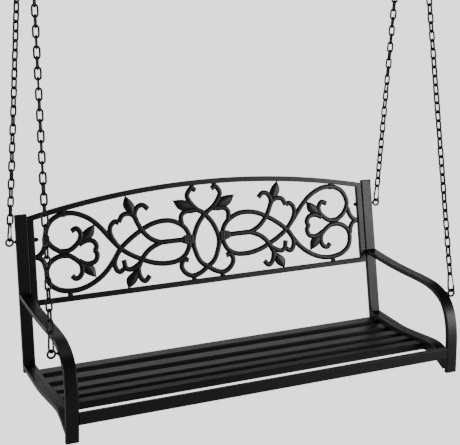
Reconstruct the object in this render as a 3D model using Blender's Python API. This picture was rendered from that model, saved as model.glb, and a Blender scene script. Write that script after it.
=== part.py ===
"""A powder-coated steel porch swing bench, hung on four chains from two ceiling plates.

The world origin is the middle of the swing axis, the line through both ceiling eyes.
X runs across the bench, the seat faces -Y and Z points up.
"""
import math

import bmesh
import bpy
from mathutils import Matrix, Vector
from mathutils.geometry import delaunay_2d_cdt

# ------------------------------------------------------------------ driving dimensions, in metres
GAP = 0.0003                # clearance between two pieces that touch

BENCH_WIDTH = 1.274         # over the outer faces of posts and arms
TUBE_WIDTH = 0.038          # flat tube of posts and arms, across the bench
TUBE_DEPTH = 0.014          # the same tube, the thin way
TUBE_WALL = 0.0015
TUBE_CHAMFER = 0.002

POST_LENGTH = 0.478
POST_FOOT_Y = 0.4535        # front face of a post at its foot, behind the front of the legs
POST_FOOT_Z = 0.0392        # height of that foot over the bottom of the legs
POST_LEAN = math.radians(9.15)

SEAT_RAIL_WIDTH = 0.0205
SEAT_END_BAR_WIDTH = TUBE_WIDTH - SEAT_RAIL_WIDTH - GAP
SLAT_COUNT = 5
SLAT_WIDTH = 0.040
SLAT_THICKNESS = 0.022
SLAT_PITCH = 0.068
SLAT_DROP = 0.012           # the slats lie this far below the top of the rails
FIRST_SLAT_Y = 0.4235       # centre line of the rear slat
FRONT_RAIL_HEIGHT = 0.034
FRONT_RAIL_DEPTH = 0.014
FRONT_RAIL_Z = 0.0630       # centre of the front rail

PANEL_INSET = 0.003         # the back panel stands this far behind the front of the posts
PANEL_DEPTH = 0.014
PANEL_BAR = 0.017           # height of the top and bottom bars of the back panel
PANEL_SIDE_BAR = 0.021
PANEL_WALL = 0.001          # wall of its top and bottom bars, which are square tubes
PANEL_CHAMFER = 0.001
PANEL_BOTTOM = 0.1945       # underside of the bottom bar, along the post from its foot
PANEL_CENTRE_HEIGHT = 0.3412   # from there to the top of the arch
PANEL_SIDE_HEIGHT = 0.2765     # the same, at the ends of the arch

SCROLL_THICKNESS = 0.007
SCROLL_SETBACK = 0.011      # middle of the castings behind the front of the posts
SCROLL_DROP = 0.005         # the pattern's base line lies this far below the top of the bottom bar
SCROLL_WIDTH = 0.012        # a main strand
TENDRIL_WIDTH = 0.0095      # a thin strand
PAD_WIDTH = 0.012           # pads and feet that meet the bars of the panel

HANG_HEIGHT = 1.8328        # from the bottom of the legs up to the swing axis
HANG_SETBACK = 0.3050       # from the front of the legs back to the swing axis
HANG_HALF_SPACING = 0.6411  # a ceiling eye from the middle of the bench

PLATE_LENGTH = 0.090
PLATE_WIDTH = 0.040
PLATE_THICKNESS = 0.005
PLATE_HOLE_RADIUS = 0.0035
PLATE_HOLE_SPACING = 0.066
HANGER_BAR_RADIUS = 0.004
HANGER_EYE_WIDTH = 0.026
HANGER_EYE_DROP = 0.030     # from the plate down to the swing axis
TOP_RING_RADIUS = 0.021
TOP_RING_WIRE = 0.004       # radius of its wire

EYE_RADIUS = 0.01025        # middle of the wire of an eye bolt's ring
EYE_WIRE = 0.00275
EYE_SHANK_RADIUS = 0.003
EYE_OFFSET = 0.0192         # ring centre outside the face of the post
REAR_EYE_HEIGHT = 0.398     # along the post from its foot
REAR_EYE_DEPTH = 0.008      # behind the front of the post
FRONT_EYE_Y = 0.0635        # behind the front of the legs, on the middle of the arm tube

HOOK_WIRE = 0.0025
HOOK_LENGTH = 0.060         # between the middles of the wire at both ends
HOOK_PLAY = 0.0006
GATE_WIRE = 0.002
CHAIN_BAR_RADIUS = 0.0035
RING_TO_CHAIN = 0.0005      # between a top ring and the ends of its chains
SLEEVE_PLAY = 0.0005        # between a sleeve nut and the inside of the arm tube
SLEEVE_LENGTH = 0.007

ARM_PATH = [(0.49, 0.2662), (0.41, 0.2597), (0.33, 0.2552), (0.25, 0.2537), (0.18, 0.2535),
            (0.12, 0.2500), (0.080, 0.2402), (0.0445, 0.2215), (0.0215, 0.1912),
            (0.0088, 0.150), (0.0045, 0.110), (0.0050, 0.060), (0.0072, 0.0)]
SEAT_PATH = [(0.4557, 0.0527), (0.36, 0.0478), (0.285, 0.0462), (0.20, 0.0525),
             (0.112, 0.0598), (0.0695, 0.0543), (TUBE_DEPTH / 2 + 0.0077, 0.0302)]

# ------------------------------------------------------------------ places worked out from them
HALF_WIDTH = BENCH_WIDTH / 2
INNER_FACE = HALF_WIDTH - TUBE_WIDTH          # inner face of posts, arms and seat rails
SPAN = INNER_FACE - GAP                       # half length of what lies between them
BENCH_PLACE = Vector((0.0, -HANG_SETBACK, -HANG_HEIGHT))
RING_CENTRE_DROP = TOP_RING_RADIUS - TOP_RING_WIRE - HANGER_BAR_RADIUS - GAP
PANEL_INSIDE = PANEL_BOTTOM + PANEL_BAR       # top of the bottom bar, along the post
PATTERN_HALF = 0.5777                         # half length that the scrollwork below is drawn for
PATTERN_STRETCH = (SPAN - PANEL_SIDE_BAR) / PATTERN_HALF
SLEEVE_RADIUS = TUBE_DEPTH / 2 - TUBE_WALL - GAP - SLEEVE_PLAY
SIDES = (("left", -1), ("right", 1))


# ------------------------------------------------------------------ scene and materials
def clear_scene():
    for obj in list(bpy.data.objects):
        bpy.data.objects.remove(obj, do_unlink=True)


def make_material(name, colour, roughness, metallic):
    material = bpy.data.materials.new(name)
    material.use_nodes = True
    shader = material.node_tree.nodes["Principled BSDF"]
    shader.inputs["Base Color"].default_value = (*colour, 1.0)
    shader.inputs["Roughness"].default_value = roughness
    shader.inputs["Metallic"].default_value = metallic
    material.diffuse_color = (*colour, 1.0)
    return material


def make_empty(name, parent=None, place=(0, 0, 0), turn=(0, 0, 0)):
    empty = bpy.data.objects.new(name, None)
    bpy.context.scene.collection.objects.link(empty)
    empty.parent = parent
    empty.location = place
    empty.rotation_euler = turn
    return empty


def make_object(name, bm, material, parent=None, smooth=False):
    bmesh.ops.recalc_face_normals(bm, faces=bm.faces)
    mesh = bpy.data.meshes.new(name)
    bm.to_mesh(mesh)
    bm.free()
    obj = bpy.data.objects.new(name, mesh)
    bpy.context.scene.collection.objects.link(obj)
    obj.parent = parent
    if material is not None:
        mesh.materials.append(material)
    if smooth:
        mesh.shade_smooth()
        mesh.set_sharp_from_angle(angle=math.radians(50))
    return obj


# ------------------------------------------------------------------ curves
def smooth_path(points, step):
    """A Catmull-Rom curve through the points, read about every step."""
    points = [Vector(p) for p in points]
    first = 2 * points[0] - points[1]
    last = 2 * points[-1] - points[-2]
    line = [first, *points, last]
    path = []
    for i in range(1, len(line) - 2):
        a, b, c, d = line[i - 1:i + 3]
        count = max(1, round((c - b).length / step))
        for k in range(count):
            t = k / count
            path.append(0.5 * (2 * b + (c - a) * t + (2 * a - 5 * b + 4 * c - d) * t ** 2
                               + (3 * b - 3 * c + d - a) * t ** 3))
    path.append(points[-1])
    return path


def tangents(path, closed=False):
    count = len(path)
    result = []
    for i in range(count):
        before = path[i - 1] if closed or i > 0 else path[i]
        after = path[(i + 1) % count] if closed or i < count - 1 else path[i]
        result.append((after - before).normalized())
    return result


def height_at(path, y):
    """Height and slope angle of a side path at a place y."""
    for a, b in zip(path, path[1:]):
        if min(a.x, b.x) <= y <= max(a.x, b.x) and a.x != b.x:
            share = (y - a.x) / (b.x - a.x)
            return a.y + share * (b.y - a.y), math.atan2(b.y - a.y, b.x - a.x)
    raise ValueError("the place is not on the path")


# ------------------------------------------------------------------ solids
def flat_section(width, depth, chamfer):
    """Eight corners of a rectangle with cut corners, going round once."""
    w, d, c = width / 2, depth / 2, chamfer
    return [(-w + c, -d), (w - c, -d), (w, -d + c), (w, d - c),
            (w - c, d), (-w + c, d), (-w, d - c), (-w, -d + c)]


def flat_tube(name, stations, width, depth, material, parent, wall=TUBE_WALL, chamfer=TUBE_CHAMFER):
    """A tube of flat section through stations of (centre, width axis, depth axis).

    With no wall it is a solid bar.
    """
    bm = bmesh.new()
    outer_shape = flat_section(width, depth, chamfer)
    outer, inner = [], []
    for centre, across, through in stations:
        outer.append([bm.verts.new(centre + across * u + through * v) for u, v in outer_shape])
        if wall:
            w, d = width / 2 - wall, depth / 2 - wall
            corners = [(-w, -d), (w, -d), (w, d), (-w, d)]
            inner.append([bm.verts.new(centre + across * u + through * v) for u, v in corners])
    for rings in (outer, inner):
        for a, b in zip(rings, rings[1:]):
            for i in range(len(a)):
                j = (i + 1) % len(a)
                bm.faces.new((a[i], a[j], b[j], b[i]))
    for end in (0, -1):
        if not wall:
            bm.faces.new(outer[end])
            continue
        ring, hole = outer[end], inner[end]
        for k in range(4):
            n = (k + 1) % 4
            first, second, third = ring[2 * k - 1], ring[2 * k], ring[2 * k + 1]
            bm.faces.new((first, second, hole[k]))
            bm.faces.new((second, third, hole[n], hole[k]))
    return make_object(name, bm, material, parent)


def side_stations(path, x, start_cut=None, end_cut=None):
    """Stations of a tube that lies in a side plane, with its ends cut along given directions."""
    stations = []
    cuts = {0: start_cut, len(path) - 1: end_cut}
    for i, (point, along) in enumerate(zip(path, tangents(path))):
        normal = Vector((0, -along.y, along.x))
        cut = cuts.get(i)
        if cut is not None:
            direction = Vector((0, *cut)).normalized()
            if direction.dot(normal) < 0:
                direction = -direction
            normal = direction / direction.dot(normal)
        stations.append((Vector((x, point.x, point.y)), Vector((1, 0, 0)), normal))
    return stations


def straight_stations(start, end, across, through):
    return [(Vector(start), Vector(across), Vector(through)),
            (Vector(end), Vector(across), Vector(through))]


def round_bar(name, path, normal, radius, material, parent=None, sides=8, closed=False, linked=True):
    """A round wire along a flat path whose plane has the given normal."""
    bm = bmesh.new()
    normal = Vector(normal).normalized()
    rings = []
    for point, along in zip(path, tangents(path, closed)):
        side = normal.cross(along).normalized()
        ring = []
        for k in range(sides):
            angle = 2 * math.pi * k / sides
            ring.append(bm.verts.new(point + radius * (math.cos(angle) * normal
                                                       + math.sin(angle) * side)))
        rings.append(ring)
    pairs = list(zip(rings, rings[1:]))
    if closed:
        pairs.append((rings[-1], rings[0]))
    else:
        bm.faces.new(rings[0])
        bm.faces.new(rings[-1])
    for a, b in pairs:
        for i in range(sides):
            j = (i + 1) % sides
            bm.faces.new((a[i], a[j], b[j], b[i]))
    return make_object(name, bm, material, parent, smooth=True)


def circle_path(centre, radius, across, up, count):
    across, up = Vector(across), Vector(up)
    return [Vector(centre) + radius * (math.cos(2 * math.pi * k / count) * across
                                       + math.sin(2 * math.pi * k / count) * up)
            for k in range(count)]


def as_cutter(obj):
    obj.hide_render = True
    obj.display_type = "WIRE"
    return obj


def combine(obj, tool, operation):
    modifier = obj.modifiers.new(tool.name, "BOOLEAN")
    modifier.operation = operation
    modifier.object = as_cutter(tool)


def drill(obj, start, end, normal, radius, parent, sides=10):
    """A round hole through obj, from start to end, both in the parent's own axes."""
    tool = round_bar(obj.name + "_drill", [Vector(start), Vector(end)], normal, radius, None,
                     parent, sides)
    combine(obj, tool, "DIFFERENCE")


def ring_piece(name, centre, axis, across, outer, bore, length, material, parent, outer_sides, sides=10):
    """A nut or sleeve: a short prism along an axis, with a bore."""
    start = Vector(centre) - Vector(axis) * length / 2
    end = Vector(centre) + Vector(axis) * length / 2
    body = round_bar(name, [start, end], across, outer, material, parent, outer_sides)
    reach = Vector(axis) * length
    drill(body, start - reach, end + reach, across, bore, parent, sides)
    return body


def end_cap(name, centre, up, material, parent, plate=0.0025, plug=0.010):
    """A plastic cap that closes the end of a flat tube, with a plug that reaches into it."""
    up = Vector(up)
    across = Vector((1, 0, 0))
    through = up.cross(across)
    base = Vector(centre) + up * GAP
    sizes = [(TUBE_WIDTH - 0.002, TUBE_DEPTH - 0.002, plate), (TUBE_WIDTH, TUBE_DEPTH, plate - 0.001),
             (TUBE_WIDTH, TUBE_DEPTH, 0.0)]
    inner = 2 * (TUBE_WALL + GAP)
    sizes += [(TUBE_WIDTH - inner, TUBE_DEPTH - inner, 0.0),
              (TUBE_WIDTH - inner, TUBE_DEPTH - inner, -plug)]
    bm = bmesh.new()
    rings = []
    for width, depth, height in sizes:
        corners = [(-1, -1), (1, -1), (1, 1), (-1, 1)]
        rings.append([bm.verts.new(base + up * height + across * (u * width / 2)
                                   + through * (v * depth / 2)) for u, v in corners])
    for a, b in zip(rings, rings[1:]):
        for i in range(4):
            j = (i + 1) % 4
            bm.faces.new((a[i], a[j], b[j], b[i]))
    bm.faces.new(rings[0])
    bm.faces.new(rings[-1])
    return make_object(name, bm, material, parent)


# ------------------------------------------------------------------ side frames
def build_post(side, sign, back, steel, plastic):
    x = sign * (HALF_WIDTH - TUBE_WIDTH / 2)
    y = TUBE_DEPTH / 2
    stations = straight_stations((x, y, 0), (x, y, POST_LENGTH), (1, 0, 0), (0, 1, 0))
    post = flat_tube("rear_post_" + side, stations, TUBE_WIDTH, TUBE_DEPTH, steel, back)
    bolt_y, bolt_z = REAR_EYE_DEPTH, REAR_EYE_HEIGHT
    drill(post, (sign * (INNER_FACE - 0.01), bolt_y, bolt_z), (sign * (HALF_WIDTH + 0.01), bolt_y, bolt_z),
          (0, 0, 1), EYE_SHANK_RADIUS + GAP, back)
    end_cap("post_top_cap_" + side, (x, y, POST_LENGTH), (0, 0, 1), plastic, back)
    end_cap("post_foot_cap_" + side, (x, y, 0), (0, 0, -1), plastic, back)


def build_arm(side, sign, bench, steel, plastic):
    """The arm and the front leg are one bent tube, from the post round to its foot."""
    x = sign * (HALF_WIDTH - TUBE_WIDTH / 2)
    path = arm_path()
    lean = (math.sin(POST_LEAN), math.cos(POST_LEAN))
    stations = side_stations(path, x, start_cut=lean)
    arm = flat_tube("arm_and_leg_" + side, stations, TUBE_WIDTH, TUBE_DEPTH, steel, bench)
    _, z = front_eye_place()
    drill(arm, (sign * (HALF_WIDTH - 0.010), FRONT_EYE_Y, z), (sign * (HALF_WIDTH + 0.010), FRONT_EYE_Y, z),
          (0, 0, 1), EYE_SHANK_RADIUS + GAP, bench)
    foot = path[-1]
    down = (path[-1] - path[-2]).normalized()
    end_cap("leg_foot_cap_" + side, (x, foot.x, foot.y), (0, down.x, down.y), plastic, bench)


def post_front(height):
    """A point on the front face of the posts, in the bench's side plane, at a height."""
    return Vector((POST_FOOT_Y + math.tan(POST_LEAN) * (height - POST_FOOT_Z), height))


def from_post(path, step):
    """A smooth path whose first point lies on the front of the post, at its own height."""
    start = post_front(path[0][1])
    start.x -= GAP / math.cos(POST_LEAN)
    return smooth_path([start, *path[1:]], step)


def arm_path():
    return from_post(ARM_PATH, 0.030)


def seat_path():
    return from_post(SEAT_PATH, 0.024)


def build_seat_side(side, sign, bench, steel):
    """The seat rail and, inside it, the end bar that carries the slats."""
    path = seat_path()
    lean = (math.sin(POST_LEAN), math.cos(POST_LEAN))
    rail_x = sign * (HALF_WIDTH - SEAT_RAIL_WIDTH / 2)
    stations = side_stations(path, rail_x, start_cut=lean, end_cut=(0, 1))
    flat_tube("seat_rail_" + side, stations, SEAT_RAIL_WIDTH, TUBE_DEPTH, steel, bench)
    height = SLAT_DROP + SLAT_THICKNESS
    lower = (height - TUBE_DEPTH) / 2
    bar_x = sign * (INNER_FACE + SEAT_END_BAR_WIDTH / 2)
    stations = side_stations(path, bar_x, start_cut=lean, end_cut=(0, 1))
    stations = [(centre + lower * through * (1 if through.z < 0 else -1), across, through)
                for centre, across, through in stations]
    flat_tube("seat_end_bar_" + side, stations, SEAT_END_BAR_WIDTH, height, steel, bench)


def build_slats(bench, steel):
    path = seat_path()
    below = SLAT_DROP + SLAT_THICKNESS / 2 - TUBE_DEPTH / 2
    for number in range(SLAT_COUNT):
        y = FIRST_SLAT_Y - number * SLAT_PITCH
        z, slope = height_at(path, y)
        normal = Vector((0, -math.sin(slope), math.cos(slope)))
        if normal.z < 0:
            normal = -normal
        along = Vector((0, normal.z, -normal.y))
        centre = Vector((0, y, z)) - normal * below
        reach = Vector((SPAN, 0, 0))
        stations = straight_stations(centre - reach, centre + reach, along, normal)
        flat_tube("seat_slat_%d" % (number + 1), stations, SLAT_WIDTH, SLAT_THICKNESS, steel, bench)


def build_front_rail(bench, steel):
    leg_y, _ = leg_centre(FRONT_RAIL_Z)
    y = leg_y - TUBE_DEPTH / 2 + FRONT_RAIL_DEPTH / 2
    stations = straight_stations((-SPAN, y, FRONT_RAIL_Z), (SPAN, y, FRONT_RAIL_Z), (0, 0, 1), (0, 1, 0))
    flat_tube("front_rail", stations, FRONT_RAIL_HEIGHT, FRONT_RAIL_DEPTH, steel, bench)


def leg_centre(height):
    path = arm_path()
    for a, b in zip(path, path[1:]):
        if b.y <= height <= a.y and a.x < 0.03:
            share = (height - a.y) / (b.y - a.y)
            return a.x + share * (b.x - a.x), height
    raise ValueError("the height is not on the leg")


# ------------------------------------------------------------------ back panel
def arch_radius():
    """Radius of the top of the arched bar."""
    rise = PANEL_CENTRE_HEIGHT - PANEL_SIDE_HEIGHT
    return (SPAN ** 2 + rise ** 2) / (2 * rise)


def arch_drop(x):
    """How far the arched top bar has fallen at a distance x from the middle."""
    return arch_radius() - math.sqrt(arch_radius() ** 2 - x ** 2)


def arch_underside(x):
    """Height of the arch's underside over the bottom bar."""
    thickness = PANEL_BAR / math.cos(math.asin(x / arch_radius()))
    return PANEL_CENTRE_HEIGHT - PANEL_BAR - thickness - arch_drop(x)


def build_panel_frame(back, steel):
    y = PANEL_INSET + PANEL_DEPTH / 2
    stations = []
    count = 28
    for k in range(count + 1):
        x = SPAN * (2 * k / count - 1)
        slope = math.asin(x / arch_radius())
        normal = Vector((math.sin(slope), 0, math.cos(slope)))
        top = Vector((x, y, PANEL_BOTTOM + PANEL_CENTRE_HEIGHT - arch_drop(x)))
        if k in (0, count):
            normal = Vector((0, 0, 1 / math.cos(slope)))
        stations.append((top - normal * PANEL_BAR / 2, Vector((0, 1, 0)), normal))
    flat_tube("back_top_bar", stations, PANEL_DEPTH, PANEL_BAR, steel, back,
              PANEL_WALL, PANEL_CHAMFER)
    z = PANEL_BOTTOM + PANEL_BAR / 2
    stations = straight_stations((-SPAN, y, z), (SPAN, y, z), (0, 1, 0), (0, 0, 1))
    flat_tube("back_bottom_bar", stations, PANEL_DEPTH, PANEL_BAR, steel, back,
              PANEL_WALL, PANEL_CHAMFER)
    for side, sign in SIDES:
        build_side_bar(side, sign, back, steel)


def build_side_bar(side, sign, back, steel):
    x = sign * (SPAN - PANEL_SIDE_BAR / 2)
    y = PANEL_INSET + PANEL_DEPTH / 2
    low = PANEL_INSIDE + GAP
    ends = [PANEL_INSIDE + arch_underside(x + step * PANEL_SIDE_BAR / 2) - 2 * GAP for step in (-1, 1)]
    slope = Vector((PANEL_SIDE_BAR, 0, ends[1] - ends[0])) / PANEL_SIDE_BAR
    stations = [(Vector((x, y, low)), Vector((1, 0, 0)), Vector((0, 1, 0))),
                (Vector((x, y, sum(ends) / 2)), slope, Vector((0, 1, 0)))]
    bar = flat_tube("back_side_bar_" + side, stations, PANEL_SIDE_BAR, PANEL_DEPTH, steel, back)
    reach = PANEL_SIDE_BAR
    drill(bar, (x - reach, REAR_EYE_DEPTH, REAR_EYE_HEIGHT), (x + reach, REAR_EYE_DEPTH, REAR_EYE_HEIGHT),
          (0, 0, 1), EYE_SHANK_RADIUS + GAP, back)


# Strands of one half of the scrollwork, as distances from the middle and heights over the
# pattern's base line. The other half is their mirror image.
BIG_LOOP = [(0.492, 0.142), (0.540, 0.198), (0.526, 0.239), (0.494, 0.259), (0.456, 0.262),
            (0.424, 0.253), (0.392, 0.235), (0.361, 0.206), (0.330, 0.168), (0.298, 0.133),
            (0.266, 0.110), (0.233, 0.093), (0.198, 0.078), (0.157, 0.069), (0.112, 0.071),
            (0.082, 0.084), (0.064, 0.108), (0.060, 0.139), (0.067, 0.167), (0.087, 0.189),
            (0.121, 0.204), (0.157, 0.206), (0.192, 0.199), (0.227, 0.183), (0.263, 0.161),
            (0.298, 0.133), (0.318, 0.106), (0.343, 0.074), (0.372, 0.049), (0.405, 0.031),
            (0.439, 0.021), (0.472, 0.020), (0.508, 0.028), (0.536, 0.050), (0.544, 0.084),
            (0.536, 0.109), (0.514, 0.126), (0.486, 0.133)]
OUTER_STRANDS = [
    (BIG_LOOP, SCROLL_WIDTH),
    ([(0.492, 0.146), (0.457, 0.151), (0.434, 0.172), (0.428, 0.195), (0.442, 0.211),
      (0.458, 0.203)], SCROLL_WIDTH),
    ([(0.486, 0.131), (0.458, 0.123), (0.434, 0.102), (0.429, 0.079), (0.438, 0.060),
      (0.453, 0.056), (0.462, 0.067)], SCROLL_WIDTH),
    ([(0.428, 0.168), (0.403, 0.171), (0.386, 0.165), (0.378, 0.149), (0.385, 0.137)], TENDRIL_WIDTH),
    ([(0.385, 0.137), (0.377, 0.120), (0.386, 0.102), (0.405, 0.098), (0.430, 0.104)], TENDRIL_WIDTH),
    ([(0.576, 0.136), (0.567, 0.137), (0.557, 0.147), (0.548, 0.161), (0.542, 0.178)], TENDRIL_WIDTH),
    ([(0.567, 0.137), (0.557, 0.127), (0.549, 0.113), (0.545, 0.098)], TENDRIL_WIDTH),
    ([(0.064, 0.136), (0.100, 0.138), (0.130, 0.138), (0.162, 0.138), (0.195, 0.154), (0.222, 0.182),
      (0.239, 0.213), (0.251, 0.244), (0.262, 0.272)], SCROLL_WIDTH),
    ([(0.155, 0.138), (0.197, 0.121), (0.223, 0.099), (0.239, 0.072), (0.253, 0.045), (0.267, 0.024)],
     SCROLL_WIDTH),
    ([(0.248, 0.236), (0.242, 0.251), (0.232, 0.262), (0.215, 0.265), (0.200, 0.250)], TENDRIL_WIDTH),
    ([(0.243, 0.228), (0.255, 0.241), (0.268, 0.243), (0.290, 0.237), (0.300, 0.219)], TENDRIL_WIDTH),
    ([(0.300, 0.219), (0.313, 0.222), (0.327, 0.211), (0.332, 0.191), (0.324, 0.165)], TENDRIL_WIDTH),
    ([(0.245, 0.060), (0.236, 0.032), (0.221, 0.021), (0.206, 0.036)], TENDRIL_WIDTH),
    ([(0.239, 0.070), (0.252, 0.072), (0.270, 0.062), (0.289, 0.071), (0.292, 0.094)], TENDRIL_WIDTH),
    ([(0.305, 0.126), (0.321, 0.092), (0.317, 0.069), (0.304, 0.060), (0.293, 0.066)], TENDRIL_WIDTH),
]
OUTER_LEAVES = [((0.424, 0.170), (0.384, 0.217), 0.022), ((0.424, 0.101), (0.387, 0.053), 0.022),
                ((0.258, 0.262), (0.273, 0.296), 0.018), ((0.262, 0.033), (0.280, 0.0065), 0.018)]
CENTRE_STRANDS = [
    ([(0.0, 0.041), (0.022, 0.057), (0.037, 0.083), (0.0455, 0.127), (0.030, 0.176), (0.0, 0.216)],
     SCROLL_WIDTH),
    ([(0.0, 0.216), (-0.028, 0.233), (-0.050, 0.258), (-0.058, 0.281), (-0.046, 0.302),
      (-0.029, 0.294)], SCROLL_WIDTH),
    ([(0.0, 0.041), (-0.027, 0.024), (-0.055, 0.017), (-0.078, 0.028), (-0.088, 0.048),
      (-0.081, 0.065), (-0.066, 0.064)], SCROLL_WIDTH),
    ([(-0.033, 0.236), (-0.052, 0.229), (-0.070, 0.230), (-0.083, 0.214)], TENDRIL_WIDTH),
]
CENTRE_LEAVES = [((0.040, 0.234), (0.112, 0.268), 0.022)]
OUTER_PADS = [0.481]
OUTER_FEET = [0.472]
CENTRE_PADS = [0.041]
CENTRE_FEET = [0.051]


def strand_cells(points, width, mirror):
    """The strand's outline as a row of four-cornered cells."""
    path = smooth_path([(mirror * x * PATTERN_STRETCH, z) for x, z in points], 0.020)
    sides = []
    for point, along in zip(path, tangents(path)):
        normal = Vector((-along.y, along.x)) * width / 2
        sides.append((point + normal, point - normal))
    return [[a[0], a[1], b[1], b[0]] for a, b in zip(sides, sides[1:])]


def leaf_cell(base, tip, width, mirror):
    base = Vector((mirror * base[0] * PATTERN_STRETCH, base[1]))
    tip = Vector((mirror * tip[0] * PATTERN_STRETCH, tip[1]))
    along = (tip - base).normalized()
    normal = Vector((-along.y, along.x)) * width / 2
    middle = base.lerp(tip, 0.45)
    return [base - normal * 0.35, middle - normal, tip, middle + normal, base + normal * 0.35]


def block_cell(x, low, high, width=PAD_WIDTH):
    return [Vector((x - width / 2, low)), Vector((x + width / 2, low)),
            Vector((x + width / 2, high)), Vector((x - width / 2, high))]


def pad_cell(x, low):
    """A pad that reaches up to the arch."""
    return block_cell(x, low, SCROLL_DROP + arch_underside(abs(x) + PAD_WIDTH / 2) - GAP)


def pierced_plate(name, cells, material, parent):
    """One flat casting: the union of all cells, given the castings' thickness."""
    points, faces = [], []
    for cell in cells:
        faces.append(list(range(len(points), len(points) + len(cell))))
        points.extend(Vector((p.x, p.y)) for p in cell)
    verts, _, tris, _, _, sources = delaunay_2d_cdt(points, [], faces, 1, 1e-5)
    kept = [tri for tri, source in zip(tris, sources) if source]
    bm = bmesh.new()
    sheets = []
    for y in (SCROLL_SETBACK - SCROLL_THICKNESS / 2, SCROLL_SETBACK + SCROLL_THICKNESS / 2):
        sheets.append([bm.verts.new((p.x, y, PANEL_INSIDE - SCROLL_DROP + p.y)) for p in verts])
    uses = {}
    for tri in kept:
        for i, a in enumerate(tri):
            b = tri[(i + 1) % len(tri)]
            key = (min(a, b), max(a, b))
            uses[key] = uses.get(key, 0) + 1
        bm.faces.new([sheets[0][i] for i in tri])
        bm.faces.new([sheets[1][i] for i in reversed(tri)])
    for (a, b), count in uses.items():
        if count == 1:
            bm.faces.new((sheets[0][a], sheets[0][b], sheets[1][b], sheets[1][a]))
    loose = [v for v in bm.verts if not v.link_faces]
    bmesh.ops.delete(bm, geom=loose, context="VERTS")
    return make_object(name, bm, material, parent)


def build_scrollwork(back, iron):
    for side, sign in SIDES:
        cells = []
        for points, width in OUTER_STRANDS:
            cells += strand_cells(points, width, sign)
        cells += [leaf_cell(base, tip, width, sign) for base, tip, width in OUTER_LEAVES]
        for x in OUTER_PADS:
            cells.append(pad_cell(sign * x * PATTERN_STRETCH, 0.252))
        for x in OUTER_FEET:
            cells.append(block_cell(sign * x * PATTERN_STRETCH, SCROLL_DROP + GAP, 0.024))
        pierced_plate("scroll_" + side, cells, iron, back)
    cells = []
    for mirror in (-1, 1):
        for points, width in CENTRE_STRANDS:
            cells += strand_cells(points, width, mirror)
        cells += [leaf_cell(base, tip, width, mirror) for base, tip, width in CENTRE_LEAVES]
        for x in CENTRE_PADS:
            cells.append(pad_cell(mirror * x * PATTERN_STRETCH, 0.298))
        for x in CENTRE_FEET:
            cells.append(block_cell(mirror * x * PATTERN_STRETCH, SCROLL_DROP + GAP, 0.022))
    pierced_plate("scroll_centre", cells, iron, back)


# ------------------------------------------------------------------ hanging hardware
def rear_eye_place():
    y = POST_FOOT_Y + REAR_EYE_HEIGHT * math.sin(POST_LEAN) + REAR_EYE_DEPTH * math.cos(POST_LEAN)
    z = POST_FOOT_Z + REAR_EYE_HEIGHT * math.cos(POST_LEAN) - REAR_EYE_DEPTH * math.sin(POST_LEAN)
    return y, z


def front_eye_place():
    z, _ = height_at(arm_path(), FRONT_EYE_Y)
    return FRONT_EYE_Y, z


def build_eye_bolt(name, sign, y, z, inner_end, bench, zinc):
    """A ring standing square to the seat, with a shank that runs in through the tube."""
    centre = Vector((sign * (HALF_WIDTH + EYE_OFFSET), y, z))
    ring = round_bar(name, circle_path(centre, EYE_RADIUS, (1, 0, 0), (0, 0, 1), 16), (0, 1, 0),
                     EYE_WIRE, zinc, bench, sides=8, closed=True)
    start = Vector((sign * (HALF_WIDTH + EYE_OFFSET - EYE_RADIUS), y, z))
    shank = round_bar(name + "_shank", [start, Vector((sign * inner_end, y, z))], (0, 0, 1),
                      EYE_SHANK_RADIUS, zinc, bench, sides=10)
    combine(ring, shank, "UNION")
    return centre


def build_cap_nut(side, sign, back, zinc):
    """The domed nut on the inner end of the rear eye bolt, against the panel's side bar."""
    face = SPAN - PANEL_SIDE_BAR - GAP
    outline = [(0.0, 0.0074), (0.006, 0.0074), (0.0075, 0.0058), (0.0110, 0.0046), (0.0135, 0.0022)]
    bore = EYE_SHANK_RADIUS + 0.0001
    bm = bmesh.new()
    rings = []
    sides = 12
    for depth, radius in [(0.0095, bore), (0.0, bore), *outline]:
        ring = []
        for k in range(sides):
            angle = 2 * math.pi * k / sides
            reach = radius * (1.0 if k % 2 == 0 or depth > 0.0065 or radius == bore else 0.9)
            ring.append(bm.verts.new((sign * (face - depth), REAR_EYE_DEPTH + reach * math.cos(angle),
                                      REAR_EYE_HEIGHT + reach * math.sin(angle))))
        rings.append(ring)
    for a, b in zip(rings, rings[1:]):
        for i in range(sides):
            j = (i + 1) % sides
            bm.faces.new((a[i], a[j], b[j], b[i]))
    bm.faces.new(rings[0])
    bm.faces.new(rings[-1])
    make_object("cap_nut_" + side, bm, zinc, back, smooth=True)


def chain_line(sign, y, z):
    """Where a hook's bow hangs in its eye, and the direction from there to the top ring."""
    eye = BENCH_PLACE + Vector((sign * (HALF_WIDTH + EYE_OFFSET), y, z))
    seat = eye + Vector((0, 0, EYE_RADIUS - EYE_WIRE - HOOK_WIRE - HOOK_PLAY))
    ring = Vector((sign * HANG_HALF_SPACING, 0, -RING_CENTRE_DROP))
    return seat, ring


def hook_frame(sign, y, z, twist):
    """Axes of a hook: up along its chain, and its plane turned by twist about that line."""
    seat, ring = chain_line(sign, y, z)
    up = (ring - seat).normalized()
    ahead = Vector((math.sin(twist), -math.cos(twist), 0.0))
    normal = up.cross(ahead).normalized()
    ahead = normal.cross(up).normalized()
    frame = Matrix.Identity(4)
    for column, axis in enumerate((ahead, normal, up)):
        frame.col[column][:3] = axis
    frame.col[3][:3] = seat
    return frame


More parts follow.
